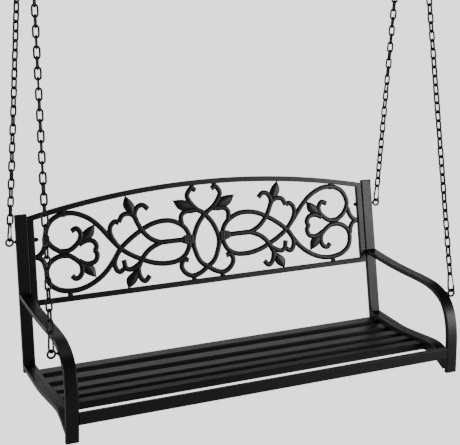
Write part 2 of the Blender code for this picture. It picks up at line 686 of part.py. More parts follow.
# Centre line of a snap hook in its own plane: from the gate's pivot over the top, down the
# spine, round the bow and up to the nose.
HOOK_SHAPE = [(0.0065, 0.0494), (0.0062, 0.0520), (0.0052, 0.0562), (0.0, HOOK_LENGTH),
              (-0.0052, 0.0562), (-0.0070, 0.0440), (-0.0088, 0.0280), (-0.0100, 0.0140),
              (-0.0086, 0.0052), (-0.0048, 0.0012), (0.0, 0.0), (0.0048, 0.0012),
              (0.0086, 0.0052), (0.0100, 0.0120), (0.0097, 0.0200)]
GATE_PIVOT = (0.0067, 0.0480)
GATE_TIP = (0.0096, 0.0205)


def build_hook(end, side, sign, y, z, twist, zinc):
    frame = hook_frame(sign, y, z, twist)
    holder = make_empty("hook_frame_%s_%s" % (end, side))
    holder.matrix_world = frame
    path = [Vector((x, 0, height)) for x, height in HOOK_SHAPE]
    round_bar("snap_hook_%s_%s" % (end, side), path, (0, 1, 0), HOOK_WIRE, zinc, holder, sides=8)
    pivot = make_empty("gate_pivot_%s_%s" % (end, side), holder, (GATE_PIVOT[0], 0, GATE_PIVOT[1]))
    reach = Vector((GATE_TIP[0] - GATE_PIVOT[0], 0, GATE_TIP[1] - GATE_PIVOT[1]))
    round_bar("hook_gate_%s_%s" % (end, side), [Vector((0, 0, 0)), reach], (0, 1, 0), GATE_WIRE,
              zinc, pivot, sides=8)


def build_chain(end, side, sign, y, z, steel):
    """The envelope of one taut chain, from the hook's top to the top ring. Where the two chains
    of a side hang too close together for their thickness, their upper ends part along the ring."""
    seat, ring = chain_line(sign, y, z)
    up = (ring - seat).normalized()
    reach = TOP_RING_RADIUS + TOP_RING_WIRE + RING_TO_CHAIN
    lines = [chain_line(sign, *place) for place in (front_eye_place(), rear_eye_place())]
    front, rear = [(top - bottom).normalized() for bottom, top in lines]
    spread = max(0.0, CHAIN_BAR_RADIUS + GAP / 2 - reach * math.sin(front.angle(rear) / 2))
    outward = Vector((0, math.copysign(spread, seat.y - ring.y), 0))
    low = seat + up * (HOOK_LENGTH + HOOK_WIRE + 0.0005)
    high = ring - up * reach + outward
    round_bar("chain_%s_%s" % (end, side), [low, high], (1, 0, 0), CHAIN_BAR_RADIUS, steel, sides=8)


def build_top_ring(side, sign, zinc):
    centre = (sign * HANG_HALF_SPACING, 0, -RING_CENTRE_DROP)
    path = circle_path(centre, TOP_RING_RADIUS, (0, 1, 0), (0, 0, 1), 20)
    round_bar("top_ring_" + side, path, (1, 0, 0), TOP_RING_WIRE, zinc, sides=8, closed=True)


def build_hanger(side, sign, zinc):
    """A ceiling plate with two screw holes and a U-shaped eye welded under it."""
    x = sign * HANG_HALF_SPACING
    low = HANGER_EYE_DROP
    half = HANGER_EYE_WIDTH / 2
    corner = 0.006
    path = [Vector((x - half, 0, low - GAP)), Vector((x - half, 0, corner)),
            Vector((x - half + corner * 0.3, 0, corner * 0.3)), Vector((x - half + corner, 0, 0)),
            Vector((x + half - corner, 0, 0)), Vector((x + half - corner * 0.3, 0, corner * 0.3)),
            Vector((x + half, 0, corner)), Vector((x + half, 0, low - GAP))]
    round_bar("ceiling_eye_" + side, path, (0, 1, 0), HANGER_BAR_RADIUS, zinc, sides=8)
    z = low + PLATE_THICKNESS / 2
    stations = straight_stations((x, 0, low), (x, 0, low + PLATE_THICKNESS), (1, 0, 0), (0, 1, 0))
    plate = flat_tube("ceiling_plate_" + side, stations, PLATE_LENGTH, PLATE_WIDTH, zinc, None,
                      wall=None, chamfer=0.008)
    for step in (-1, 1):
        hole_x = x + step * PLATE_HOLE_SPACING / 2
        drill(plate, (hole_x, 0, z - 0.01), (hole_x, 0, z + 0.01), (1, 0, 0), PLATE_HOLE_RADIUS, None, 24)


def build_corner(side, sign, bench, zinc, steel):
    """The screw that holds the seat grid to the post, and the small bracket beside it."""
    x = sign * (INNER_FACE + 0.0075)
    height = SEAT_PATH[0][1] + TUBE_DEPTH / 2 + 0.0075
    face = post_front(height)
    lean = Vector((0, math.cos(POST_LEAN), -math.sin(POST_LEAN)))
    start = Vector((x, face.x, face.y)) - lean * GAP
    bolt = round_bar("corner_bolt_" + side, [start, start - lean * 0.0045], (1, 0, 0), 0.0055, zinc,
                     bench, sides=12)
    bolt.data.shade_flat()


def main():
    clear_scene()
    steel = make_material("black_powder_coat", (0.035, 0.034, 0.036), 0.45, 0.0)
    iron = make_material("black_casting", (0.030, 0.029, 0.030), 0.55, 0.0)
    zinc = make_material("dark_plated_steel", (0.09, 0.09, 0.095), 0.35, 0.8)
    plastic = make_material("black_plastic", (0.02, 0.02, 0.02), 0.6, 0.0)
    bench = make_empty("bench", place=BENCH_PLACE)
    back = make_empty("back", bench, (0, POST_FOOT_Y, POST_FOOT_Z), (-POST_LEAN, 0, 0))
    for side, sign in SIDES:
        build_post(side, sign, back, steel, plastic)
        build_arm(side, sign, bench, steel, plastic)
        build_seat_side(side, sign, bench, steel)
        build_corner(side, sign, bench, zinc, steel)
        build_cap_nut(side, sign, back, zinc)
        build_top_ring(side, sign, zinc)
        build_hanger(side, sign, zinc)
        for end, place, inner_end, twist in (
                ("rear", rear_eye_place(), SPAN - PANEL_SIDE_BAR - 0.009, 14),
                ("front", front_eye_place(), HALF_WIDTH - 0.014, 24)):
            y, z = place
            parent = bench
            build_eye_bolt("eye_bolt_%s_%s" % (end, side), sign, y, z, inner_end, parent, zinc)
            build_hook(end, side, sign, y, z, math.radians(twist), zinc)
            build_chain(end, side, sign, y, z, steel)
        y, z = front_eye_place()
        x = HALF_WIDTH - TUBE_WALL - GAP - SLEEVE_LENGTH / 2
        ring_piece("sleeve_nut_" + side, (sign * x, y, z), (1, 0, 0), (0, 0, 1), SLEEVE_RADIUS,
                   EYE_SHANK_RADIUS + 0.0001, SLEEVE_LENGTH, zinc, bench, 12)
    build_slats(bench, steel)
    build_front_rail(bench, steel)
    build_panel_frame(back, steel)
    build_scrollwork(back, iron)


main()
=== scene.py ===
"""A black powder-coated porch swing bench on four chains, in a plain studio."""
import math

import bmesh
import bpy
from mathutils import Matrix, Vector


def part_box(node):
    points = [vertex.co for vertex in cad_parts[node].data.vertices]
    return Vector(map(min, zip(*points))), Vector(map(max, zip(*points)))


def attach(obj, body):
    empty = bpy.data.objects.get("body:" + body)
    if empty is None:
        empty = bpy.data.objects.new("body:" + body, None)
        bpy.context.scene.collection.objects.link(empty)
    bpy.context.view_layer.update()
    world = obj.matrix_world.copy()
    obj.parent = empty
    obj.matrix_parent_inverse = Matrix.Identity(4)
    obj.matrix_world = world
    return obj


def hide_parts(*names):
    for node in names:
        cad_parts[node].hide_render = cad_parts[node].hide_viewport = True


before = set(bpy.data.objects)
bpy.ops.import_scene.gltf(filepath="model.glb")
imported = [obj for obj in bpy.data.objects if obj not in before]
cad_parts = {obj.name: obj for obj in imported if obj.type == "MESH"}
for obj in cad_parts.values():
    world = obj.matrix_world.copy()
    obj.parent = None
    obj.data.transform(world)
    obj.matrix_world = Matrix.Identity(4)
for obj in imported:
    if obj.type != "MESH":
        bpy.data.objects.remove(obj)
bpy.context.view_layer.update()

# ------------------------------------------------------------------ the bench's own measures, metres
HALF_WIDTH = 0.637
TUBE_WIDTH = 0.038
TUBE_DEPTH = 0.014
POST_LENGTH = 0.478
POST_FOOT = (0.4535, 0.0392)
POST_LEAN = math.radians(9.15)
SEAT_RAIL_WIDTH = 0.0205
SEAT_END_BAR_WIDTH = 0.0172
SLAT_COUNT = 5
SLAT_WIDTH = 0.040
SLAT_THICKNESS = 0.022
SLAT_PITCH = 0.068
SLAT_DROP = 0.012
FIRST_SLAT_Y = 0.4235
PANEL_INSET = 0.003
PANEL_DEPTH = 0.014
PANEL_BAR = 0.017
PANEL_SIDE_BAR = 0.021
PANEL_BOTTOM = 0.1945
PANEL_CENTRE_HEIGHT = 0.3412
PANEL_SIDE_HEIGHT = 0.2765
SCROLL_SETBACK = 0.011
SCROLL_DROP = 0.005
HANG_HEIGHT = 1.8328
HANG_SETBACK = 0.3050
HANG_HALF_SPACING = 0.6411
TOP_RING_RADIUS = 0.021
TOP_RING_WIRE = 0.004
RING_CENTRE_DROP = 0.0127
EYE_RADIUS = 0.01085
EYE_WIRE = 0.00335
EYE_OFFSET = 0.0192
REAR_EYE = (0.008, 0.398)
FRONT_EYE_Y = 0.0635
HOOK_WIRE = 0.0029
HOOK_LENGTH = 0.060
HOOK_PLAY = 0.0002
GATE_WIRE = 0.002
LINK_WIRE = 0.0031
LINK_LENGTH = 0.0414
LINK_WIDTH = 0.0228

POST_CORNER = 0.0028
ARM_CORNER = 0.0036
RAIL_CORNER = 0.0030
PANEL_CORNER = 0.0022
PANEL_SIDE_CORNER = 0.0024
SLAT_CORNER = 0.0036
CAP_CORNER = 0.003
CAP_HEIGHT = 0.0026
SHANK_RADIUS = 0.003
CEILING_WIRE = 0.004

GAP = 0.0003
INNER_FACE = HALF_WIDTH - TUBE_WIDTH
SPAN = INNER_FACE - GAP
PANEL_INSIDE = PANEL_BOTTOM + PANEL_BAR
SIDES = (("left", -1), ("right", 1))
INTO = 0.003    # how far a welded end runs into its neighbour

ARM_PATH = [(0.49, 0.2662), (0.41, 0.2597), (0.33, 0.2552), (0.25, 0.2537), (0.18, 0.2535),
            (0.12, 0.2500), (0.080, 0.2402), (0.0445, 0.2215), (0.0215, 0.1912),
            (0.0088, 0.150), (0.0045, 0.110), (0.0050, 0.060), (0.0072, 0.0)]
SEAT_PATH = [(0.4557, 0.0527), (0.36, 0.0478), (0.285, 0.0462), (0.20, 0.0525),
             (0.112, 0.0598), (0.0695, 0.0543), (0.0147, 0.0302)]

BENCH = Matrix.Translation((0, -HANG_SETBACK, -HANG_HEIGHT))
BACK = BENCH @ Matrix.Translation((0, *POST_FOOT)) @ Matrix.Rotation(-POST_LEAN, 4, "X")
SIDE_ON = Matrix(((0, 0, 1, 0), (1, 0, 0, 0), (0, 1, 0, 0), (0, 0, 0, 1)))
FACE_ON = Matrix(((1, 0, 0, 0), (0, 0, -1, 0), (0, 1, 0, 0), (0, 0, 0, 1)))


# ------------------------------------------------------------------ node trees
class Sum:
    """A number in a node tree; arithmetic on it adds Math nodes."""

    def __init__(self, plan, socket):
        self.plan = plan
        self.socket = socket

    def maths(self, operation, *values):
        sockets = {i: v for i, v in enumerate(values)}
        return Sum(self.plan, self.plan.node("ShaderNodeMath", {"operation": operation}, sockets).outputs[0])

    def __add__(self, other):
        return self.maths("ADD", self, other)

    def __sub__(self, other):
        return self.maths("SUBTRACT", self, other)

    def __rsub__(self, other):
        return self.maths("SUBTRACT", other, self)

    def __mul__(self, other):
        return self.maths("MULTIPLY", self, other)

    __radd__ = __add__
    __rmul__ = __mul__

    def at_least(self, least):
        return self.maths("MAXIMUM", self, least)

    def clamped(self):
        return self.maths("MINIMUM", self.at_least(0.0), 1.0)

    def within(self, most):
        return self.maths("MINIMUM", self.at_least(-most), most)


class Plan:
    """A node tree that is being laid out."""

    def __init__(self, tree):
        self.tree = tree

    def node(self, kind, settings=None, sockets=None):
        node = self.tree.nodes.new(kind)
        for name, value in (settings or {}).items():
            setattr(node, name, value)
        for key, value in (sockets or {}).items():
            if isinstance(value, Sum):
                value = value.socket
            if isinstance(value, bpy.types.NodeSocket):
                self.tree.links.new(value, node.inputs[key])
            else:
                node.inputs[key].default_value = value
        return node

    def number(self, socket):
        return Sum(self, socket)


def geometry_plan(name, inputs):
    """A Geometry Nodes tree with named inputs; returns its plan and the input sockets by name."""
    tree = bpy.data.node_groups.new(name, "GeometryNodeTree")
    tree.interface.new_socket("Geometry", in_out="INPUT", socket_type="NodeSocketGeometry")
    for label, kind in inputs:
        tree.interface.new_socket(label, in_out="INPUT", socket_type="NodeSocket" + kind)
    tree.interface.new_socket("Geometry", in_out="OUTPUT", socket_type="NodeSocketGeometry")
    plan = Plan(tree)
    entry = plan.node("NodeGroupInput")
    return plan, {s.name: s for s in entry.outputs if s.name}


def close_plan(plan, geometry, material):
    """Every tree ends the same way: real geometry, in its finish."""
    real = plan.node("GeometryNodeRealizeInstances", None, {"Geometry": geometry})
    painted = plan.node("GeometryNodeSetMaterial", None, {"Geometry": real.outputs[0], "Material": material})
    plan.node("NodeGroupOutput", None, {"Geometry": painted.outputs[0]})
    return plan.tree


def bake(name, tree, values, verts, edges=(), numbers=None, place=Matrix.Identity(4)):
    """Runs a tree on points and edges and returns the plain mesh, put in its place."""
    mesh = bpy.data.meshes.new(name + "_line")
    mesh.from_pydata([tuple(v) for v in verts], list(edges), [])
    for label, data in (numbers or {}).items():
        mesh.attributes.new(label, "FLOAT", "POINT").data.foreach_set("value", data)
    guide = bpy.data.objects.new(name + "_line", mesh)
    bpy.context.scene.collection.objects.link(guide)
    modifier = guide.modifiers.new("plan", "NODES")
    modifier.node_group = tree
    for item in tree.interface.items_tree:
        if item.in_out == "INPUT" and item.name in values:
            modifier[item.identifier] = values[item.name]
    result = bpy.data.meshes.new_from_object(guide.evaluated_get(bpy.context.evaluated_depsgraph_get()))
    bpy.data.objects.remove(guide)
    result.transform(place)
    result.name = name
    return result


def line_edges(count, closed=False):
    edges = [(i, i + 1) for i in range(count - 1)]
    return edges + [(count - 1, 0)] if closed else edges


# ------------------------------------------------------------------ finishes
def finish_plan(name, colour, roughness, metallic):
    material = bpy.data.materials.new(name)
    material.use_nodes = True
    plan = Plan(material.node_tree)
    shader = material.node_tree.nodes["Principled BSDF"]
    shader.inputs["Base Color"].default_value = (*colour, 1)
    shader.inputs["Roughness"].default_value = roughness
    shader.inputs["Metallic"].default_value = metallic
    material.diffuse_color = (*colour, 1)
    return material, plan, shader


def grain(plan, scale, detail):
    """Noise on the piece's own coordinates, as a number from 0 to 1."""
    place = plan.node("ShaderNodeTexCoord").outputs["Object"]
    noise = plan.node("ShaderNodeTexNoise", None, {"Vector": place, "Scale": scale, "Detail": detail,
                                                   "Roughness": 0.55})
    return plan.number(noise.outputs["Fac"])


def two_tone(plan, share, dark, light):
    mixed = plan.node("ShaderNodeMix", {"data_type": "RGBA"}, {0: share, 6: (*dark, 1), 7: (*light, 1)})
    return mixed.outputs[2]


def roughen(plan, shader, height, distance, strength):
    bump = plan.node("ShaderNodeBump", None, {"Height": height, "Distance": distance, "Strength": strength})
    plan.tree.links.new(bump.outputs[0], shader.inputs["Normal"])


def set_input(plan, shader, name, value):
    plan.tree.links.new(value.socket if isinstance(value, Sum) else value, shader.inputs[name])


def powder_coat(name, dark, light, roughness, peel=0.00012):
    """Baked powder coat: a fine orange peel, slight cloudiness, and a painted highlight that makes the edges
    lighter.
    """
    material, plan, shader = finish_plan(name, dark, roughness, 0.0)
    cloud = grain(plan, 14, 4)
    fine = grain(plan, 900, 2)
    edge = plan.node("ShaderNodeNewGeometry").outputs["Pointiness"]
    # painted highlight: sharp edges, found by pointiness, are painted in the lighter tone, standing in for
    # light caught on rounded corners
    edge_highlight = ((plan.number(edge) - 0.53) * 9.0).clamped() * cloud
    share = (cloud * 0.5 + edge_highlight * 0.8).clamped()
    set_input(plan, shader, "Base Color", two_tone(plan, share, dark, light))
    set_input(plan, shader, "Roughness", cloud * 0.12 + (roughness - 0.06) + fine * 0.05)
    roughen(plan, shader, fine + grain(plan, 260, 2) * 0.6, peel, 0.5)
    return material


def plated_wire(name, dark, light, roughness):
    """Black plated wire: metal under a thin dark skin, with rubbed brighter spots."""
    material, plan, shader = finish_plan(name, dark, roughness, 0.75)
    spots = grain(plan, 180, 4)
    share = ((spots - 0.42) * 2.5).clamped()
    set_input(plan, shader, "Base Color", two_tone(plan, share, dark, light))
    set_input(plan, shader, "Roughness", spots * 0.2 + (roughness - 0.08))
    roughen(plan, shader, grain(plan, 700, 3), 0.0001, 0.35)
    return material


def moulded_plastic(name, colour, roughness):
    material, plan, shader = finish_plan(name, colour, roughness, 0.0)
    fine = grain(plan, 1400, 2)
    light = tuple(c * 1.7 for c in colour)
    set_input(plan, shader, "Base Color", two_tone(plan, grain(plan, 40, 3), colour, light))
    set_input(plan, shader, "Roughness", fine * 0.15 + (roughness - 0.07))
    roughen(plan, shader, fine, 0.0001, 0.4)
    return material


tube_finish = powder_coat("powder_coated_tube", (0.003, 0.003, 0.0035), (0.006, 0.006, 0.0065), 0.36)
casting_finish = powder_coat("powder_coated_casting", (0.002, 0.002, 0.002), (0.005, 0.005, 0.0055), 0.38,
                             0.0002)
chain_finish = plated_wire("black_plated_chain", (0.020, 0.020, 0.021), (0.06, 0.06, 0.062), 0.34)
fitting_finish = plated_wire("black_plated_fitting", (0.022, 0.022, 0.023), (0.055, 0.055, 0.058), 0.30)
cap_finish = moulded_plastic("black_moulded_cap", (0.012, 0.012, 0.012), 0.5)


# ------------------------------------------------------------------ lines and placing
def smooth_path(points, step):
    """A Catmull-Rom curve through the points, read about every step."""
    points = [Vector(p) for p in points]
    line = [2 * points[0] - points[1], *points, 2 * points[-1] - points[-2]]
    path = []
    for i in range(1, len(line) - 2):
        a, b, c, d = line[i - 1:i + 3]
        count = max(1, round((c - b).length / step))
        for k in range(count):
            t = k / count
            path.append(0.5 * (2 * b + (c - a) * t + (2 * a - 5 * b + 4 * c - d) * t ** 2
                               + (3 * b - 3 * c + d - a) * t ** 3))
    path.append(points[-1])
    return path


def drawn_out(path, before, after):
    """The path with both ends carried on straight."""
    first = path[0] + (path[0] - path[1]).normalized() * before
    last = path[-1] + (path[-1] - path[-2]).normalized() * after
    return [first, *path, last]


def post_front(height):
    return Vector((POST_FOOT[0] + math.tan(POST_LEAN) * (height - POST_FOOT[1]), height))


def from_post(path, step=0.006):
    return smooth_path([post_front(path[0][1]), *path[1:]], step)


def height_at(path, y):
    for a, b in zip(path, path[1:]):
        if min(a.x, b.x) <= y <= max(a.x, b.x) and a.x != b.x:
            share = (y - a.x) / (b.x - a.x)
            return a.y + share * (b.y - a.y), math.atan2(b.y - a.y, b.x - a.x)
    raise ValueError("the place is not on the path")


def shifted(path, distance):
    """The path moved sideways, to the side where distance points when it is followed."""
    result = []
    for i, point in enumerate(path):
        along = (path[min(i + 1, len(path) - 1)] - path[max(i - 1, 0)]).normalized()
        result.append(point + Vector((-along.y, along.x)) * distance)
    return result


def show(name, mesh, body, slot, *nodes):
    """Makes the mesh a piece of the swing that rides on a body and stands for CAD nodes."""
    piece = bpy.data.objects.new(name, mesh)
    bpy.context.scene.collection.objects.link(piece)
    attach(piece, body)
    if nodes:
        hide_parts(*nodes)
    return piece


def join(name, meshes):
    """All the meshes as one, each face keeping its finish."""
    bm = bmesh.new()
    materials = []
    for mesh in meshes:
        start = len(bm.faces)
        bm.from_mesh(mesh)
        for material in mesh.materials:
            if material not in materials:
                materials.append(material)
        bm.faces.ensure_lookup_table()
        for face in bm.faces[start:]:
            material = mesh.materials[face.material_index] if mesh.materials else None
            face.material_index = materials.index(material) if material else 0
    joined = bpy.data.meshes.new(name)
    bm.to_mesh(joined)
    bm.free()
    for material in materials:
        joined.materials.append(material)
    return joined


def skinned(name, rings, finish):
    """A closed mesh over rings of points, with a face over each end."""
    bm = bmesh.new()
    rings = [[bm.verts.new(point) for point in ring] for ring in rings]
    for a, b in zip(rings, rings[1:]):
        for i in range(len(a)):
            j = (i + 1) % len(a)
            bm.faces.new((a[i], a[j], b[j], b[i]))
    bm.faces.new(rings[0])
    bm.faces.new(rings[-1])
    bmesh.ops.recalc_face_normals(bm, faces=bm.faces)
    mesh = bpy.data.meshes.new(name)
    bm.to_mesh(mesh)
    bm.free()
    mesh.materials.append(finish)
    return mesh


def soften(mesh, angle):
    """Smooth shading, but for edges sharper than the angle in degrees."""
    mesh.shade_smooth()
    mesh.set_sharp_from_angle(angle=math.radians(angle))


def even_normals(mesh):
    """Keeps broad flat sides flat beside their rounded corners."""
    soften(mesh, 40)
    holder = bpy.data.objects.new("holder", mesh)
    bpy.context.scene.collection.objects.link(holder)
    weighting = holder.modifiers.new("even", "WEIGHTED_NORMAL")
    weighting.weight = 100
    weighting.keep_sharp = True
    result = bpy.data.meshes.new_from_object(holder.evaluated_get(bpy.context.evaluated_depsgraph_get()))
    result.name = mesh.name
    bpy.data.objects.remove(holder)
    return result


# ------------------------------------------------------------------ trees for bars, wires, castings, chains
def rounded_section(plan, width, height, corner, count):
    """A rectangle with rounded corners."""
    section = plan.node("GeometryNodeCurvePrimitiveQuadrilateral", {"mode": "RECTANGLE"},
                        {"Width": width, "Height": height})
    return plan.node("GeometryNodeFilletCurve", {"mode": "POLY"},
                     {"Curve": section.outputs[0], "Count": count, "Radius": corner, "Limit Radius": True})


def swept(plan, line, section, capped=True):
    return plan.node("GeometryNodeCurveToMesh", None, {"Curve": line.outputs[0],
                                                       "Profile Curve": section.outputs[0],
                                                       "Fill Caps": capped})


def flat_bar_tree():
    """A bar with rounded corners, swept along a flat line."""
    plan, given = geometry_plan("flat bar", [("Across", "Float"), ("Depth", "Float"), ("Corner", "Float"),
                                             ("Finish", "Material")])
    line = plan.node("GeometryNodeMeshToCurve", None, {"Mesh": given["Geometry"]})
    upright = plan.node("GeometryNodeSetCurveNormal", {"mode": "Z_UP"}, {"Curve": line.outputs[0]})
    section = rounded_section(plan, given["Depth"], given["Across"], given["Corner"], 4)
    bar = swept(plan, upright, section)
    return close_plan(plan, bar.outputs[0], given["Finish"])


def wire_tree():
    """Round wire bent along a line."""
    plan, given = geometry_plan("bent wire", [("Radius", "Float"), ("Sides", "Int"), ("Finish", "Material")])
    line = plan.node("GeometryNodeMeshToCurve", None, {"Mesh": given["Geometry"]})
    section = plan.node("GeometryNodeCurvePrimitiveCircle", None,
                        {"Resolution": given["Sides"], "Radius": given["Radius"]})
    wire = swept(plan, line, section)
    soft = plan.node("GeometryNodeSetShadeSmooth", None, {"Geometry": wire.outputs[0]})
    return close_plan(plan, soft.outputs[0], given["Finish"])


def strand_tree():
    """A cast strand: flat behind, upright sides and sloping shoulders up to a narrow flat top."""
    plan, given = geometry_plan("cast strand", [("Width", "Float"), ("Height", "Float"), ("Top", "Float"),
                                                ("Finish", "Material")])
    swell = plan.node("GeometryNodeInputNamedAttribute", {"data_type": "FLOAT"}, {"Name": "swell"})
    line = plan.node("GeometryNodeMeshToCurve", None, {"Mesh": given["Geometry"]})
    sized = plan.node("GeometryNodeSetCurveRadius", None, {"Curve": line.outputs[0],
                                                           "Radius": swell.outputs["Attribute"]})
    upright = plan.node("GeometryNodeSetCurveNormal", {"mode": "Z_UP"}, {"Curve": sized.outputs[0]})
    round_section = plan.node("GeometryNodeCurvePrimitiveCircle", None, {"Resolution": 16, "Radius": 1.0})
    spot = plan.node("ShaderNodeSeparateXYZ", None,
                     {0: plan.node("GeometryNodeInputPosition").outputs[0]})
    across = (plan.number(spot.outputs["X"]) * 1.45).within(1.0)
    depth = (plan.number(spot.outputs["Y"]) * 1.35).within(1.0)
    shoulder = (depth * -1.0).at_least(0.0)
    narrowed = across * (1.0 - shoulder * shoulder * (1.0 - plan.number(given["Top"])))
    place = plan.node("ShaderNodeCombineXYZ", None, {"X": narrowed * given["Width"] * 0.5,
                                                     "Y": depth * given["Height"] * 0.5})
    section = plan.node("GeometryNodeSetPosition", None, {"Geometry": round_section.outputs[0],
                                                          "Position": place.outputs[0]})
    strand = swept(plan, upright, section)
    return close_plan(plan, strand.outputs[0], given["Finish"])


def chain_tree():
    """Welded links, one on each point of a straight run, each turned a quarter from the last."""
    plan, given = geometry_plan("chain", [("Start", "Vector"), ("End", "Vector"), ("Links", "Int"),
                                          ("First flat", "Vector"), ("Drift", "Float"), ("Length", "Float"),
                                          ("Width", "Float"), ("Wire", "Float"), ("Seed", "Int"),
                                          ("Finish", "Material")])
    run = plan.node("ShaderNodeVectorMath", {"operation": "SUBTRACT"}, {0: given["End"], 1: given["Start"]})
    points = plan.node("GeometryNodeMeshLine", {"mode": "END_POINTS", "count_mode": "TOTAL"},
                       {"Count": given["Links"], "Start Location": given["Start"], "Offset": given["End"]})
    wire = plan.number(given["Wire"])
    across = plan.number(given["Width"]) - wire * 2
    bent = rounded_section(plan, across, plan.number(given["Length"]) - wire * 2, across * 0.499, 3)
    section = plan.node("GeometryNodeCurvePrimitiveCircle", None, {"Resolution": 6, "Radius": wire})
    link = swept(plan, bent, section, False)
    index = plan.number(plan.node("GeometryNodeInputIndex").outputs[0])
    chance = plan.node("FunctionNodeRandomValue", {"data_type": "FLOAT"},
                       {2: -0.16, 3: 0.16, "ID": index.socket, "Seed": given["Seed"]})
    turn = index * (math.pi / 2) + index * given["Drift"] + chance.outputs[1]
    stand = plan.node("FunctionNodeAxesToRotation", {"primary_axis": "Y", "secondary_axis": "X"},
                      {0: run.outputs[0], 1: given["First flat"]})
    spin = plan.node("FunctionNodeAxisAngleToRotation", None, {"Axis": (0, 1, 0), "Angle": turn})
    turned = plan.node("FunctionNodeRotateRotation", {"rotation_space": "LOCAL"},
                       {0: stand.outputs[0], 1: spin.outputs[0]})
    links = plan.node("GeometryNodeInstanceOnPoints", None,
                      {"Points": points.outputs[0], "Instance": link.outputs[0],
                       "Rotation": turned.outputs[0]})
    soft = plan.node("GeometryNodeSetShadeSmooth", None, {"Geometry": links.outputs[0]})
    return close_plan(plan, soft.outputs[0], given["Finish"])


def slat_tree():
    """Seat slats: one rounded bar on each point, tipped by the point's own slope."""
    plan, given = geometry_plan("seat slats", [("Length", "Float"), ("Width", "Float"),
                                               ("Thickness", "Float"), ("Corner", "Float"),
                                               ("Finish", "Material")])
    slope = plan.node("GeometryNodeInputNamedAttribute", {"data_type": "FLOAT"}, {"Name": "slope"})
    half = plan.number(given["Length"]) * 0.5
    ends = [plan.node("ShaderNodeCombineXYZ", None, {"X": half * side}) for side in (-1.0, 1.0)]
    line = plan.node("GeometryNodeCurvePrimitiveLine", {"mode": "POINTS"},
                     {"Start": ends[0].outputs[0], "End": ends[1].outputs[0]})
    upright = plan.node("GeometryNodeSetCurveNormal", {"mode": "Z_UP"}, {"Curve": line.outputs[0]})
    section = rounded_section(plan, given["Width"], given["Thickness"], given["Corner"], 5)
    slat = swept(plan, upright, section)
    tip = plan.node("ShaderNodeCombineXYZ", None, {"X": slope.outputs["Attribute"]})
    slats = plan.node("GeometryNodeInstanceOnPoints", None,
                      {"Points": given["Geometry"], "Instance": slat.outputs[0], "Rotation": tip.outputs[0]})
    return close_plan(plan, slats.outputs[0], given["Finish"])


FLAT_BAR = flat_bar_tree()
WIRE = wire_tree()
STRAND = strand_tree()
CHAIN = chain_tree()
SLATS = slat_tree()


def show_bar(name, path, across, depth, corner, place):
    """One powder-coated bar of the frame, swept along a flat path."""
    mesh = bake(name, FLAT_BAR, {"Across": across, "Depth": depth, "Corner": corner, "Finish": tube_finish},
                [(p.x, p.y, 0) for p in path], line_edges(len(path)), None, place)
    show(name, even_normals(mesh), "bench", "frame", name)


def wire_mesh(name, path, radius, place, finish, sides=14, closed=False):
    return bake(name, WIRE, {"Radius": radius, "Sides": sides, "Finish": finish},
                path, line_edges(len(path), closed), None, place)


# ------------------------------------------------------------------ side frames and seat
def across_at(x):
    """Puts a line drawn in the side view at a distance x from the middle of the bench."""
    return Matrix.Translation((x, 0, 0)) @ SIDE_ON


def side_frames():
    arm = from_post(ARM_PATH)
    rail = from_post(SEAT_PATH)
    for side, sign in SIDES:
        x = sign * (HALF_WIDTH - TUBE_WIDTH / 2)
        post = [Vector((TUBE_DEPTH / 2, 0)), Vector((TUBE_DEPTH / 2, POST_LENGTH))]
        show_bar("rear_post_" + side, post, TUBE_WIDTH, TUBE_DEPTH, POST_CORNER, BACK @ across_at(x))
        show_bar("arm_and_leg_" + side, drawn_out(arm, INTO, 0)[:-1], TUBE_WIDTH, TUBE_DEPTH, ARM_CORNER,
                 BENCH @ across_at(x))
        rail_x = sign * (HALF_WIDTH - SEAT_RAIL_WIDTH / 2)
        show_bar("seat_rail_" + side, drawn_out(rail, INTO, INTO), SEAT_RAIL_WIDTH, TUBE_DEPTH, POST_CORNER,
                 BENCH @ across_at(rail_x))
        height = SLAT_DROP + SLAT_THICKNESS
        end_bar = shifted(drawn_out(rail, INTO, INTO), (height - TUBE_DEPTH) / 2)
        bar_x = sign * (INNER_FACE + SEAT_END_BAR_WIDTH / 2)
        show_bar("seat_end_bar_" + side, end_bar, SEAT_END_BAR_WIDTH, height, PANEL_CORNER,
                 BENCH @ across_at(bar_x))


def seat_slats():
    rail = from_post(SEAT_PATH)
    below = SLAT_DROP + SLAT_THICKNESS / 2 - TUBE_DEPTH / 2
    places, slopes = [], []
    for number in range(SLAT_COUNT):
        y = FIRST_SLAT_Y - number * SLAT_PITCH
        z, slope = height_at(rail, y)
        slope = math.atan(math.tan(slope))    # the path may run either way
        places.append((0, y + math.sin(slope) * below, z - math.cos(slope) * below))
        slopes.append(slope)
    mesh = bake("seat_slats", SLATS, {"Length": 2 * SPAN, "Width": SLAT_WIDTH, "Thickness": SLAT_THICKNESS,
                                      "Corner": SLAT_CORNER, "Finish": tube_finish},
                places, (), {"slope": slopes}, BENCH)
    show("seat_slats", even_normals(mesh), "bench", "frame",
         *("seat_slat_%d" % (n + 1) for n in range(SLAT_COUNT)))


def front_rail():
    low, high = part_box("front_rail")
    place = Matrix.Translation((low + high) / 2) @ FACE_ON
    path = [Vector((-SPAN, 0)), Vector((SPAN, 0))]
    show_bar("front_rail", path, high.y - low.y, high.z - low.z, RAIL_CORNER, place)


# ------------------------------------------------------------------ back panel
ARCH_STEPS = 80


def arch_radius():
    """Outer radius of the arched top bar, from its rise over the length between the side bars."""
    rise = PANEL_CENTRE_HEIGHT - PANEL_SIDE_HEIGHT
    return (SPAN ** 2 + rise ** 2) / (2 * rise)


def arch_drop(x):
    return arch_radius() - math.sqrt(arch_radius() ** 2 - x ** 2)


